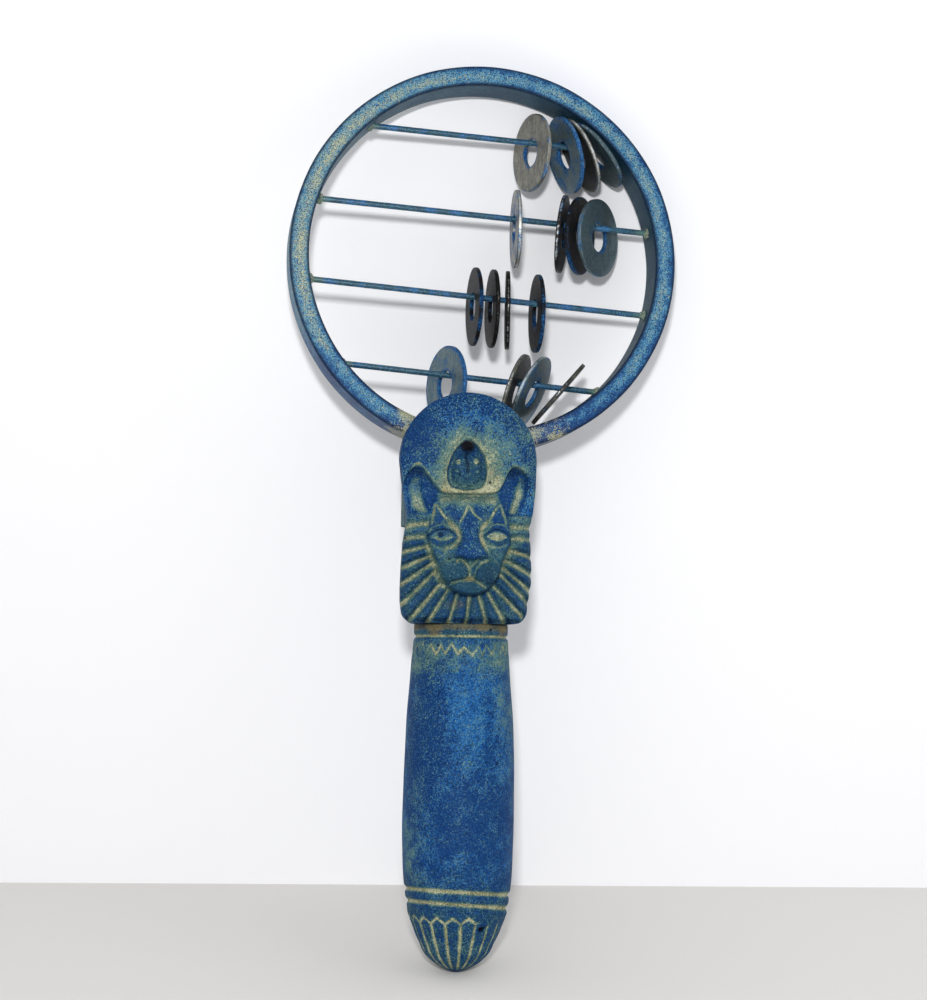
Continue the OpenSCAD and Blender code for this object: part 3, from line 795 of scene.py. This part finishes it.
def head_half_widths(z):
    """Half widths of the front's left and right sides: round feet, carved sides and a round disc on top."""
    foot = 4.0
    low = np.clip(HEAD_BASE + foot - z, 0, foot)
    low = foot - np.sqrt(foot * foot - low * low)
    high = np.clip(z - DISC_Z, 0, DISC_R)
    disc = np.sqrt(DISC_R ** 2 - high ** 2)
    left = np.interp(z, LEFT_LEVELS, LEFT_WIDTHS) - low
    right = np.interp(z, RIGHT_LEVELS, RIGHT_WIDTHS) - low
    return np.where(z > DISC_Z, disc - DISC_X, left), np.where(z > DISC_Z, disc + DISC_X, right)


def carve_head(x, z):
    """Depth of the carved front before the grip's axis, and the marks that its paint follows.

    A domed disc overhangs a sloping brow; ears are scooped out at both sides, a ruff of strands
    and an egg-shaped face stand below, and soft grooves are cut along the drawn lines.
    """
    marks = SimpleNamespace()
    left, right = head_half_widths(z)
    to_edge = np.minimum.reduce([x + left, right - x, z - HEAD_BASE])

    # Sun disc
    up = np.where(z > DISC_Z, z - DISC_Z, 0.3 * (DISC_Z - z))
    marks.from_top = np.hypot(x - DISC_X * smooth(150, DISC_Z, z), up) / (DISC_R + 0.3)
    disc = 16.0 + 6.4 * cap(marks.from_top) ** 0.85

    # Brow and wig front under the disc's edge
    marks.under = inside(x, z, curve(DISC_EDGE) + [(24.5, 120.0), (-24.5, 120.0)])
    brow = 21.5 - 2.3 * smooth(167.8, 172.2, z) - 0.006 * x * x
    wig = 18.3 - 1.8 * smooth(1.6, 0.0, to_edge)
    brow = wig + smooth(16.5, 11.0, np.abs(x)) * (brow - wig)
    depth = disc + smooth(-0.45, 0.5, marks.under) * (np.minimum(brow, disc) - disc)

    # Ears: a scooped hollow with a raised outer strip
    ear = greatest(inside(x, z, curve(EAR_LEFT, True)), inside(x, z, curve(EAR_RIGHT, True)))
    marks.left_strip = inside(x, z, curve(STRIP_LEFT, True))
    marks.right_strip = inside(x, z, curve(STRIP_RIGHT, True))
    marks.strip = greatest(marks.left_strip, marks.right_strip)
    hollow = 16.4 + 0.13 * (181 - z) + 0.07 * (20 - np.abs(x))
    pinna = 1.9 * smooth(-0.9, 1.5, marks.strip) * smooth(179.5, 175.5, z)
    marks.in_ear = smooth(-0.25, 0.45, ear)
    depth += marks.in_ear * (np.minimum(hollow + pinna, 20.4) - depth)

    # Mane
    marks.groove = nearest(x, z, MANE_GROOVES)
    marks.lower = smooth(159, 150, z)
    mane = 19.4 - 0.5 * (x / 24) ** 2 - 2.6 * smooth(2.6, 0.0, to_edge) ** 1.6
    mane += 0.8 * smooth(0.4, 2.4, marks.groove)
    mane -= (0.7 + 0.6 * marks.lower + 0.9 * smooth(130, 126, z)) * bell(marks.groove, 0.75)
    marks.in_mane = smooth(164.9, 163.7, z)
    depth += marks.in_mane * (mane - depth)

    # Face, with a furrow round it
    marks.face_edge = inside(x, z, curve(FACE, True))
    rise = (z - FACE_Z) / np.where(z > FACE_Z, 18.5, 21.4)
    face = 19.7 + 4.1 * cap(np.hypot((x - 0.4) / 16.2, rise)) ** 0.8
    marks.in_face = smooth(-0.5, 0.9, marks.face_edge) * smooth(172.0, 167.0, z)
    furrow = bell(marks.face_edge + 0.5, 0.55) * smooth(162, 156, z) * (0.4 + 0.6 * smooth(-8, 6, x))
    depth = depth + marks.in_face * (face - depth) - 0.55 * furrow

    # Eye hollows, nose, muzzle and chin
    for middle, level, *_ in EYES:
        depth -= 1.35 * spot(x, z, middle, level + 0.3, 5.6, 3.7) * marks.in_face
    marks.bridge = smooth(-0.9, 1.2, inside(x, z, curve(BRIDGE, True)))
    depth += marks.bridge * (0.7 + 1.4 * smooth(163, 150.5, z)) * smooth(166, 158, z)
    marks.left_lobe = cap(oval(x, z, -5.7, 143.8, 5.6, 4.4))
    marks.right_lobe = cap(oval(x, z, 6.9, 143.8, 5.1, 4.6))
    marks.chin = cap(oval(x, z, 0.5, 137.9, 7.0, 3.0))
    depth = depth + 2.5 * greatest(marks.left_lobe, marks.right_lobe) ** 0.75 + 1.4 * marks.chin ** 0.8

    # Eyes: a ball between two lids
    ball, marks.lid, marks.white = np.zeros((3, *x.shape))
    for middle, level, wide, high, low in EYES:
        across = (x - middle) / wide
        arch = 1 - across * across
        gap = greatest(z - level - high * arch, level - low * arch - z)
        lid = bell(gap - 0.75, 0.55) * smooth(1.45, 1.15, np.abs(across)) * np.where(z > level, 1.0, 0.6)
        ball = greatest(ball, smooth(0.2, -1.2, gap))
        marks.lid = greatest(marks.lid, lid)
        marks.white = greatest(marks.white, smooth(0.1, -0.5, gap))
    depth = depth + 0.55 * ball + 0.55 * marks.lid

    # Cut lines
    for name, (paths, cut, width) in FACE_CUTS.items():
        distance = nearest(x, z, paths)
        depth -= cut * bell(distance, width)
        setattr(marks, name, distance)

    # Niche with its cobra
    marks.niche = inside(x, z, curve(NICHE, True))
    marks.in_niche = smooth(-0.3, 0.55, marks.niche)
    marks.body = path_distance(x, z, curve(COBRA_BODY))
    marks.dots = np.minimum.reduce([np.hypot(x - a, z - b) - size for a, b, size in COBRA_DOTS])
    hood = cap(oval(x, z, -0.8, 180.4, 5.4, 6.3))
    sunk = 1.9 + 0.8 * smooth(184, 189, z) - 1.3 * hood ** 0.8 - 0.7 * bell(marks.body, 1.0)
    depth = depth + 0.4 * bell(marks.niche + 0.9, 0.6) - sunk * marks.in_niche
    return depth + 0.6 * smooth(0.4, -0.5, marks.dots), marks


def wash_head(x, z, depth, marks):
    """How sandy, deep, murky, sponged and rusty the head's paint is, from the marks of its carving; the sand
    and deep marks also carry painted highlight and painted shade.
    """
    on_disc = smooth(0.6, -0.6, marks.under)
    ruffled = marks.in_mane * (1 - marks.in_face)
    uneven = 0.8 + 0.2 * ripple((x + 0.7 * z) / 40, [2, 3, 5], 31) * ripple((z - 0.4 * x) / 40, [2, 3], 32)

    # Sandy wash between the strands, round the face, round the niche and under the disc
    strands = (0.66 + 0.39 * marks.lower) * uneven * bell(marks.groove, 0.8) + 0.3 * (1 - marks.lower)
    ruff = bell(marks.face_edge + 0.7, 1.3) * smooth(159, 152, z)
    ruff *= np.where(x < 0, 0.9 * smooth(135, 138, z) * smooth(-3, -7, x), 0.75 * smooth(141, 145, z))
    rim = greatest(-marks.niche, 0)
    drops = np.minimum(np.hypot(x - 7.3, z - 183.5), oval(x, z, -18.4, 182.3, 1.9, 0.9))
    halo = greatest(
        0.5 * bell(rim, 5.0) + 0.25 * bell(rim, 11.0) + 0.26 * smooth(2, 14, x) * smooth(207, 198, z),
        spots(x, z, HALO_SPOTS), 1.1 * smooth(1.1, 0.4, drops),
        0.8 * bell(path_distance(x, z, HALO_STREAK), 2.0),
        # A sand band along the disc's lower rim, partly sandy wash and partly painted highlight on the rim
        1.1 * smooth(14.0, 9.0, np.abs(x)) * bell(z - 173.2, 3.0),
        0.95 * bell(marks.niche + 0.5, 0.5) * smooth(193, 188, z))
    arch_edge = bell(marks.under + 0.5, 0.8) * smooth(163, 166, z) * smooth(22.5, 20.0, np.abs(x))
    brow = smooth(164.5, 170.2, z) * smooth(173.0, 172.2, z) * smooth(13.5, 9.0, np.abs(x))
    cheeks = spot(x, z, -9.0, 149.6, 4.4, 3.2) + spot(x, z, 10.4, 150.2, 4.0, 3.2)
    sand = greatest(
        strands * ruffled, uneven * ruff, (0.5 + 0.5 * uneven) * halo * on_disc, 0.6 * arch_edge, 0.68 * brow,
        0.36 * cheeks * marks.in_face)
    sand = sand * (1 - 0.9 * marks.in_niche) * (1 - 0.95 * marks.in_ear)

    # Sandy wash in the ears and the cut lines
    ribbon = greatest(
        smooth(-0.8, 1.3, marks.left_strip) * (0.42 + 0.32 * smooth(174, 166, z)),
        smooth(-0.8, 1.1, marks.right_strip) * (0.72 - 0.07 * np.clip(x - 16.5, 0, 4)))
    crescents = greatest(1.1 * bell(marks.crescent, 1.35), 0.55 * bell(marks.crescent, 3.0))
    crescents *= 0.45 + 0.55 * smooth(150.5, 154.5, z)
    lines = greatest(
        crescents, 0.95 * bell(marks.chevron, 0.6), 0.65 * bell(marks.crease, 0.5),
        0.6 * bell(marks.under_lid, 0.8), 0.85 * bell(marks.wing, 0.55),
        0.9 * bell(marks.nose_under, 0.7), 0.85 * bell(marks.mouth, 0.6))
    lines = uneven * lines * (1 - marks.bridge * smooth(162, 159, z))
    sand = greatest(sand, marks.in_ear * ribbon, lines, spots(x, z, LIP_SPOTS))

    # Whites of the eyes, and the niche's dots and floor
    iris = smooth(1.7, 0.7, np.hypot(x + 10.1, z - 157.0))
    # Painted shadow of the upper lid: less sand on the upper part of each eye's white
    lit = np.where(x < 0, 0.3 + 0.5 * smooth(157.2, 155.4, z), 0.55 + 0.25 * smooth(158.2, 156.4, z))
    niche_wash = greatest(
        (0.45 + 0.3 * smooth(181, 183, z)) * smooth(0.3, -0.5, marks.dots),
        0.55 * bell(marks.niche - 1.3, 0.5) * smooth(187, 184, z) * smooth(3, -3, x),
        0.35 * smooth(178, 174.5, z))
    sand = sand * (1 - 0.9 * marks.lid) * (1 - marks.white)
    sand = greatest(sand, marks.white * (1 - iris) * lit, marks.in_niche * niche_wash)

    # Sand colour on what faces up as a painted highlight of light from above, painted shade on what faces
    # down, and paint that hands have rubbed murky
    tilt = np.gradient(depth, axis=0) / np.gradient(z, axis=0)
    carved = smooth(167, 165, z)
    sand += 0.25 * np.clip(-tilt - 0.15, 0, 1) * carved * (1 - marks.bridge) * (1 - marks.lid)
    murk = 0.6 * ruffled + marks.in_face * (0.4 + 0.25 * smooth(160, 155, z) + 0.3 * smooth(151, 147, z))
    murk = greatest(murk, marks.in_niche * (0.6 + 0.25 * smooth(181, 175, z)))
    murk *= 1 - 0.6 * marks.bridge * smooth(145, 149, z)
    murk = greatest(murk, 0.8 * on_disc * (1 - marks.in_niche) * spot(x, z, 0, 180, 15, 9))
    # Painted shade over the left side of the disc, away from the light
    shaded_left_dome = on_disc * smooth(-7, -17, x) * smooth(181, 187, z)
    # Painted shade in the deep mark: darker towards the disc's rim where it turns away, over the disc's left
    # side, at the top of the ear hollows under the disc's arch, through the niche and darkest at its top, and
    # in bands beside the mane's grooves; the other terms darken the lids, irises, bridge, lower mane,
    # forehead, muzzle lobes and chin
    cave = smooth(3.6, 1.4, oval(x, z, -0.4, 189.4, 1.1, 1))
    deep = greatest(
        0.35 * smooth(0.62, 0.98, marks.from_top) * smooth(172, 178, z), 0.6 * shaded_left_dome,
        marks.in_ear * smooth(0.3, -0.8, marks.strip) * (0.2 + 0.6 * smooth(174, 180.5, z)),
        marks.in_niche * greatest(0.45 + 0.8 * cave, 0.95 * bell(marks.body, 1.2) * smooth(177, 180, z)),
        0.75 * marks.lid, 0.85 * marks.white * iris, 0.25 * marks.bridge, 0.3 * ruffled * marks.lower,
        0.3 * marks.in_face * bell(z - 162.5, 4.0), 0.68 * marks.right_lobe, 0.5 * marks.left_lobe,
        0.3 * marks.chin, 0.62 * bell(marks.groove - 1.6, 0.55) * ruffled * marks.lower)
    # Painted shade: darker where the carving faces down
    deep += 0.5 * np.clip(tilt - 0.2, 0, 1) * carved
    teal = greatest(marks.bridge, 1.6 * smooth(163, 168, z))
    sponge = 1 - greatest(
        (0.8 - 0.45 * teal) * marks.in_face, (0.78 - 0.45 * teal) * marks.in_mane, 0.62 * marks.in_ear,
        0.62 * marks.in_niche, 0.7 * shaded_left_dome)
    rust = greatest(
        0.6 * spot(x, z, 0.7, 141.2, 2.2, 1.3), 0.35 * crescents * marks.in_face,
        0.7 * marks.in_niche * smooth(3.0, 1.2, oval(x, z, -0.4, 189.8, 1.1, 1)),
        on_disc * spots(x, z, DISC_RUST), 0.45 * ruffled * spot(x, z, -3.0, 132.5, 7.0, 3.5),
        0.35 * marks.in_ear * ribbon * smooth(170, 166, z))
    return {"sand": sand, "deep": deep, "murk": murk, "sponge": sponge, "rust": rust}


def head_rows():
    """Heights of the head's rings, closest together over the face, and the number of the disc's first."""
    low = np.linspace(HEAD_BASE, 134, 30, endpoint=False)
    face = np.linspace(134, 192, 216, endpoint=False)
    high = np.linspace(192, BED_Z, 10, endpoint=False)
    start = math.asin((BED_Z - DISC_Z) / DISC_R)
    crown = DISC_Z + DISC_R * np.sin(np.linspace(start, 0.5 * np.pi - 0.02, 46))
    step = [WIG_Z - 0.02, WIG_Z]
    lower = np.concatenate([low, face[face < WIG_Z - 0.1], step, face[face > WIG_Z + 0.1], high])
    return np.concatenate([lower, [BED_Z - 0.02], crown]), len(lower) + 1


def head_side(edge_x, edge_y, block, back_y, corner):
    """One side of each ring, from the carved front's edge over the side to the middle of the back."""
    share = np.linspace(0, 1, 7)[None, 1:]
    turn = np.linspace(0, 0.5 * np.pi, 9)[None, 1:]
    step_y = np.minimum(BLOCK_FRONT, back_y - corner - 0.3)
    block_y = step_y + 0.05
    bend_y = back_y - corner
    xs = [np.repeat(edge_x, share.size, axis=1), edge_x + (block - edge_x) * share[:, 1::2],
          np.repeat(block, share.size, axis=1), block - corner + corner * np.cos(turn),
          (block - corner) * (1 - share)]
    ys = [edge_y + (step_y - edge_y) * share, step_y + (block_y - step_y) * share[:, 1::2],
          block_y + (bend_y - block_y) * share, bend_y + corner * np.sin(turn),
          np.repeat(back_y, share.size, axis=1)]
    return np.concatenate(xs, axis=1), np.concatenate(ys, axis=1)


class SISTRUM_OT_head(bpy.types.Operator):
    """Carves the lioness head with its sun disc"""
    bl_idname = "sistrum.head"
    bl_label = "Lioness head"

    def execute(self, context):
        """Rings stacked up the head: each runs along the carved front, then round the sides and the back."""
        rows, first_disc_row = head_rows()
        z = rows[:, None]
        left, right = head_half_widths(z)
        spread = 0.42 * np.pi
        across = np.sin(np.linspace(-1, 1, FRONT_COLUMNS)[None] * spread) / math.sin(spread)
        x = (right - left) / 2 + (left + right) / 2 * across
        height = np.broadcast_to(z, x.shape)
        depth, marks = carve_head(x, height)
        front = np.stack([x + HEAD_SHIFT, -depth, height], axis=-1)

        on_disc = np.arange(len(rows))[:, None] >= first_disc_row
        narrow = np.minimum(left, right) - abs(HEAD_SHIFT) - 0.4
        block = np.where(z < WIG_Z, np.minimum(NECK_HALF, narrow), WIG_HALF)
        back_y = np.where(on_disc, DISC_BACK, BLOCK_BACK)
        corner = np.where(on_disc, DISC_CORNER, BLOCK_CORNER)
        sides = []
        for edge_x, edge_y in ((front[:, -1:, 0], -depth[:, -1:]), (-front[:, :1, 0], -depth[:, :1])):
            side_x, side_y = head_side(edge_x, edge_y, np.where(on_disc, edge_x, block), back_y, corner)
            sides.append(np.stack([side_x, side_y, np.broadcast_to(z, side_x.shape)], axis=-1))
        right_side, left_side = sides[0], sides[1][:, -2::-1] * [-1, 1, 1]
        rings = np.concatenate([front, right_side, left_side], axis=1) + [0, 0, TIP_Z]
        points, faces = skin_rings(rings)

        # The paint's values run on from the front's edges into plain ones round the sides and the back
        fade = smooth(8, 0, np.arange(right_side.shape[1]))[None]
        dusty = 0.36 * smooth(WIG_Z - 0.01, WIG_Z, z) * smooth(181, 176, z)
        plain = {"sand": dusty, "deep": 0.12, "murk": 0.5, "sponge": 0.5, "rust": 0.05}
        washes = wash_head(x, height, depth, marks)
        for key, value in washes.items():
            right_wash = fade * value[:, -1:] + (1 - fade) * plain[key]
            left_wash = fade * value[:, :1] + (1 - fade) * plain[key]
            ring = np.concatenate([value, right_wash, left_wash[:, -2::-1]], axis=1)
            washes[key] = skin_values(rings, ring, 0)
        material = glazed_plaster("blue-washed carved plaster", context.scene.sistrum_paint)
        piece = add_piece("carved_lioness_head", points, faces, "frame", "carved_head", material, **washes)
        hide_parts("lion_head")
        return {"FINISHED"}


# Grip: heights above the pommel's tip and radii, in millimetres

GRIP_SIDES = 448
POMMEL_H = 23.0
POMMEL_R = 18.2
WIDE_Z = 49.0
GRIP_R = node_points("grip")[:, 0].max()
COLLAR_Z = 121.0
COLLAR_R = 17.2
GROOVES = [(24.4, -0.073, 0.07), (29.0, -0.06, 0.06)]
ZIGZAG_LOW, ZIGZAG_H = 114.5, 3.7
PETAL_LOW, PETAL_H = 18.6, 2.3
PETAL_TURN = math.radians(3.4) / FULL_TURN
FRONT_TURN = 0.75
PIT_TURN, PIT_Z, PIT_R = FRONT_TURN + math.radians(27) / FULL_TURN, 16.8, 15.5


def arc_drop(length, drop, distance):
    """Drop of a round arc at a distance from its level start, where it drops fully over a length."""
    radius = (length ** 2 + drop ** 2) / (2 * drop)
    return radius - np.sqrt(radius ** 2 - distance ** 2)


def grip_radius(z):
    """Radius of the turned grip.

    An ogive pommel, worn slimmer halfway and blunt at its tip, then a barrel of two arcs up to the collar.
    """
    ogive = POMMEL_R - arc_drop(POMMEL_H, POMMEL_R, np.clip(POMMEL_H - z, 0, POMMEL_H))
    ogive -= 1.2 * smooth(23, 15.5, z) * smooth(5.8, 11.5, z)
    ogive += 0.45 * smooth(0, 0.6, z) * smooth(7, 2, z)
    low_h, high_h = WIDE_Z - POMMEL_H, COLLAR_Z - WIDE_Z
    low = GRIP_R - arc_drop(low_h, GRIP_R - POMMEL_R, np.clip(WIDE_Z - z, 0, low_h))
    high = GRIP_R - arc_drop(high_h, GRIP_R - COLLAR_R, np.clip(z - WIDE_Z, 0, high_h))
    return np.where(z < POMMEL_H, ogive, np.where(z < WIDE_Z, low, high))


class SISTRUM_OT_grip(bpy.types.Operator):
    """Turns and carves the grip"""
    bl_idname = "sistrum.grip"
    bl_label = "Grip"

    def execute(self, context):
        """Rings of the turned radius, less bell-shaped cuts for the rings, the zigzag and the petals."""
        shape = context.scene.sistrum_shape
        z = np.concatenate([
            22.5 * np.linspace(0.012, 1, 84, endpoint=False) ** 1.6,
            np.linspace(22.5, 32, 32, endpoint=False), np.linspace(32, 111, 34, endpoint=False),
            np.linspace(111, GRIP_TOP, 50)])[:, None]
        turn = np.linspace(0, 1, GRIP_SIDES, endpoint=False)[None]
        angle = FULL_TURN * turn
        base = grip_radius(z)
        swell = 0.18 * ripple(turn + z / 180, [2, 3], 8) + 0.12 * ripple(z / 60, [1, 2, 3], 9)
        radius = base + swell * smooth(2, 20, z) * smooth(GRIP_TOP, 110, z)

        # Ring grooves, tilted and a little uneven by hand
        waver = 0.1 * ripple(turn, [2, 3, 5], 5)
        tilted = [level + base * (slant * np.cos(angle) - rake * np.sin(angle)) + waver
                  for level, slant, rake in GROOVES]
        groove = greatest(*[bell(z - level, 0.9) for level in tilted])
        neck = bell(z - COLLAR_Z - 0.4 * waver, 0.65)

        # Zigzag band under the collar, worn thin in places
        phase = (turn * shape.zigzags + 0.2 * ripple(turn, [5, 9, 14], 13)) % 1
        tall = ZIGZAG_H * (0.9 + 0.25 * ripple(turn, [4, 7, 11], 14))
        crest = ZIGZAG_LOW + tall * (1 - 2 * np.abs(phase - 0.5)) + 0.35 * ripple(turn, [3, 7], 6)
        slope = 2 * ZIGZAG_H * shape.zigzags / (FULL_TURN * COLLAR_R)
        kept = 0.8 + 0.22 * ripple(turn, [3, 5, 11], 12)
        zigzag = bell((z - crest) / math.sqrt(1 + slope ** 2), 0.6) * kept

        # Lotus petals that meet at the tip, worn away to the right of the front, and a casting pit
        side = (turn - 0.25) % 1 * FULL_TURN - np.pi
        worn = 1 - 0.8 * smooth(0.2, 0.4, side) * smooth(1.7, 1.4, side)
        petal = ((turn - FRONT_TURN + PETAL_TURN) * shape.petals) % 1
        aside = np.minimum(petal, 1 - petal) * FULL_TURN * base / shape.petals
        arch = PETAL_LOW + PETAL_H * (1 - np.abs(2 * petal - 1)) ** 0.85
        line = bell(aside, (0.34 + 0.28 * worn) + 0.15 * smooth(3, 12, z))
        line = line * smooth(19.0, 17.8, z) * smooth(0.8, 2.5, z)
        petals = greatest(line, bell((z - arch) / 1.4, 0.5) * worn)
        pit = bell(oval(turn, z, PIT_TURN, PIT_Z, 1.7 / (FULL_TURN * PIT_R), 1) ** 2, 1)
        radius = radius - 0.8 * groove - 0.75 * neck - 0.4 * zigzag - 0.55 * petals * smooth(0.5, 3, z)
        radius = radius - 0.4 * smooth(GRIP_TOP - 0.5, GRIP_TOP, z) ** 2 - 1.8 * pit

        # Tones of the hand-rubbed paint, by the angle from the front and the height
        stain = ripple(turn, [4, 7, 11], 15)
        band = smooth(100, 112, z) * smooth(120.5, 119.0, z) * (0.6 + 0.4 * smooth(0.2, 0.9, np.abs(side)))
        sand = greatest(
            1.05 * groove, 0.95 * neck, zigzag, 1.05 * petals, 0.12 * smooth(20, 14, z), 0.42 * band,
            spots(side, z, [(0.3, 1.0, 96, 0.55, 16), (0.36, -1.15, 44, 0.4, 20)]),
            (0.5 + 0.35 * stain) * smooth(122.6, 124.2, z))
        murk = 0.9 * smooth(119.5, 121.5, z) + 0.5 * smooth(48, 22, z) + 0.4 * smooth(100, 114, z)
        deep = greatest(
            1.3 * pit, spots(side, z, [(0.4, -0.85, 84, 0.45, 24), (0.22, 0.1, 55, 0.9, 18)]),
            0.9 * smooth(123.0, 123.8, z), 0.12 * smooth(46, 32, z) + 0.36 * smooth(28, 21, z))
        rust = (0.3 + 0.3 * stain) * smooth(119.5, 121.5, z) + 0.4 * smooth(122.4, 124.0, z)
        washes = {
            "sand": sand * (1 - np.minimum(1, 2 * pit)),
            "deep": deep - 0.12 * spot(side, z, -0.1, 96, 0.45, 13),
            "murk": greatest(np.where(side > 0, 0.45, 0.15) * smooth(0.75, 1.35, np.abs(side)), murk),
            "sponge": 0.56 - 0.28 * bell(z - 48, 24),
            "rust": greatest(rust, 0.3 * greatest(neck, zigzag)),
        }
        rings = np.broadcast_arrays(radius * np.cos(angle), radius * np.sin(angle), z + TIP_Z)
        rings = np.stack(rings, axis=-1)
        points, faces = skin_rings(rings)
        points[-2] = [0, 0, TIP_Z]
        washes = {key: skin_values(rings, value, 0.5) for key, value in washes.items()}
        material = glazed_plaster("blue-washed turned plaster", context.scene.sistrum_paint)
        piece = add_piece("turned_grip", points, faces, "frame", "carved_grip", material, **washes)
        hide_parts("grip")
        return {"FINISHED"}


class SISTRUM_OT_tang(bpy.types.Operator):
    """Finishes the hidden tang"""
    bl_idname = "sistrum.tang"
    bl_label = "Tang"

    def execute(self, context):
        """The tang keeps its solid and gets a steel finish."""
        materials = frame["nodes"]["tang"].data.materials
        materials.clear()
        materials.append(plain_steel())
        return {"FINISHED"}


# Stage: places and sizes in millimetres

CAMERA_YAW = math.radians(-8.3)
CAMERA_PITCH = math.radians(-4.86)
CAMERA_ROLL = math.radians(0.836)
CAMERA_PLACE = (-111.16, -763.71, 33.84)
CAMERA_LENS = 75.6
BOARD_SIZE = 3000.0
ROOM_LIGHT = (0.6, 0.605, 0.62, 1)
LAMP_AIM = (0, 0, 90)

# Place, size and watts of each lamp
LAMPS = {
    "lamp above the lens": (np.add(CAMERA_PLACE, (-15, 0, 125)), 45, 3.5),
    "side lamp": ((620, -520, 320), 500, 0.7),
}


def add_board(name, middle, right, up, size, material):
    """Square board of the stage, reaching a size to each side of its middle, its front towards right x up."""
    corners = [middle + size * (a * right + b * up) for a, b in ((-1, -1), (1, -1), (1, 1), (-1, 1))]
    mesh = bpy.data.meshes.new(name)
    mesh.from_pydata([list(corner * MM) for corner in corners], [], [(0, 1, 2, 3)])
    mesh.materials.append(material)
    board = bpy.data.objects.new(name, mesh)
    bpy.context.scene.collection.objects.link(board)


def add_lamp(name, place, target, size, watts):
    """Square soft lamp at a place, facing a target."""
    data = bpy.data.lights.new(name, "AREA")
    data.shape = "SQUARE"
    data.size = size * MM
    data.energy = watts
    lamp = bpy.data.objects.new(name, data)
    bpy.context.scene.collection.objects.link(lamp)
    back = np.array(place, float) - np.array(target, float)
    back /= np.linalg.norm(back)
    right = np.cross([0, 0, 1], back)
    right /= np.linalg.norm(right)
    turn = np.eye(4)
    turn[:3, :3] = np.stack([right, np.cross(back, right), back], axis=-1)
    turn[:3, 3] = np.array(place) * MM
    lamp.matrix_world = Matrix(turn.tolist())
    lamp.visible_camera = False


class SISTRUM_OT_stage(bpy.types.Operator):
    """Sets the floor, the wall, the light and the camera"""
    bl_idname = "sistrum.stage"
    bl_label = "Stage"

    def execute(self, context):
        """The floor touches the pommel and the wall touches the hoop's back, so the sistrum leans on it."""
        stage = context.scene.sistrum_stage
        back, side, turn = stage.lean_back, stage.lean_side, stage.wall_turn
        up = np.array([math.sin(side) * math.cos(back), -math.sin(back), math.cos(back) * math.cos(side)])
        up /= np.linalg.norm(up)
        toward = np.array([math.sin(turn), -math.cos(turn), 0.0])
        toward -= up * (toward @ up)
        toward /= np.linalg.norm(toward)
        right = np.cross(up, toward)
        floor_level = (node_points("grip") @ up).min()
        wall_level = (HOOP_POINTS @ toward).min()
        corner = floor_level * up + wall_level * toward
        floor = pale_stage("pale floor board", stage.floor_colour)
        add_board("floor", corner + BOARD_SIZE * toward, right, -toward, BOARD_SIZE, floor)
        wall = pale_stage("white wall board", stage.wall_colour)
        add_board("wall", corner + BOARD_SIZE * up, right, up, BOARD_SIZE, wall)

        world = bpy.data.worlds.new("soft room light")
        world.use_nodes = True
        world.node_tree.nodes["Background"].inputs["Color"].default_value = ROOM_LIGHT
        context.scene.world = world
        for name, (place, size, watts) in LAMPS.items():
            add_lamp(name, place, LAMP_AIM, size, watts)

        data = bpy.data.cameras.new("camera")
        data.lens = CAMERA_LENS
        data.clip_start = 0.01
        camera = bpy.data.objects.new("camera", data)
        context.scene.collection.objects.link(camera)

        # The turns are about the picture's axes, x right, y down and z into the picture
        look = (Matrix.Rotation(CAMERA_ROLL, 4, "Z") @ Matrix.Rotation(CAMERA_PITCH, 4, "X")
                @ Matrix.Rotation(CAMERA_YAW, 4, "Y"))
        picture_axes = Matrix(((1, 0, 0, 0), (0, 0, -1, 0), (0, 1, 0, 0), (0, 0, 0, 1)))
        lens_axes = Matrix(((1, 0, 0, 0), (0, -1, 0, 0), (0, 0, -1, 0), (0, 0, 0, 1)))
        facing = (lens_axes @ look @ picture_axes).to_3x3().transposed().to_4x4()
        camera.matrix_world = Matrix.Translation([v * MM for v in CAMERA_PLACE]) @ facing
        context.scene.camera = camera
        context.scene.view_settings.view_transform = "Standard"
        return {"FINISHED"}


class SISTRUM_PT_panel(bpy.types.Panel):
    """Lists the pieces and their settings"""
    bl_idname = "SISTRUM_PT_panel"
    bl_label = "Sistrum"
    bl_space_type = "VIEW_3D"
    bl_region_type = "UI"
    bl_category = "Sistrum"

    def draw(self, context):
        for operator in OPERATORS:
            self.layout.operator(operator.bl_idname)
        for group in (context.scene.sistrum_shape, context.scene.sistrum_paint, context.scene.sistrum_stage):
            for key in group.__annotations__:
                self.layout.prop(group, key)


OPERATORS = (SISTRUM_OT_stage, SISTRUM_OT_hoop, SISTRUM_OT_rods, SISTRUM_OT_beads, SISTRUM_OT_jingles,
             SISTRUM_OT_head, SISTRUM_OT_grip, SISTRUM_OT_tang)
GROUPS = {"sistrum_paint": SistrumPaint, "sistrum_shape": SistrumShape, "sistrum_stage": SistrumStage}


def register():
    for group in GROUPS.values():
        bpy.utils.register_class(group)
    for key, group in GROUPS.items():
        setattr(bpy.types.Scene, key, PointerProperty(type=group))
    for part in (*OPERATORS, SISTRUM_PT_panel):
        bpy.utils.register_class(part)


def unregister():
    for part in (SISTRUM_PT_panel, *reversed(OPERATORS)):
        bpy.utils.unregister_class(part)
    for key, group in GROUPS.items():
        delattr(bpy.types.Scene, key)
        bpy.utils.unregister_class(group)


def main():
    register()
    for operator in OPERATORS:
        group, name = operator.bl_idname.split(".")
        getattr(getattr(bpy.ops, group), name)()


if __name__ == "__main__":
    main()
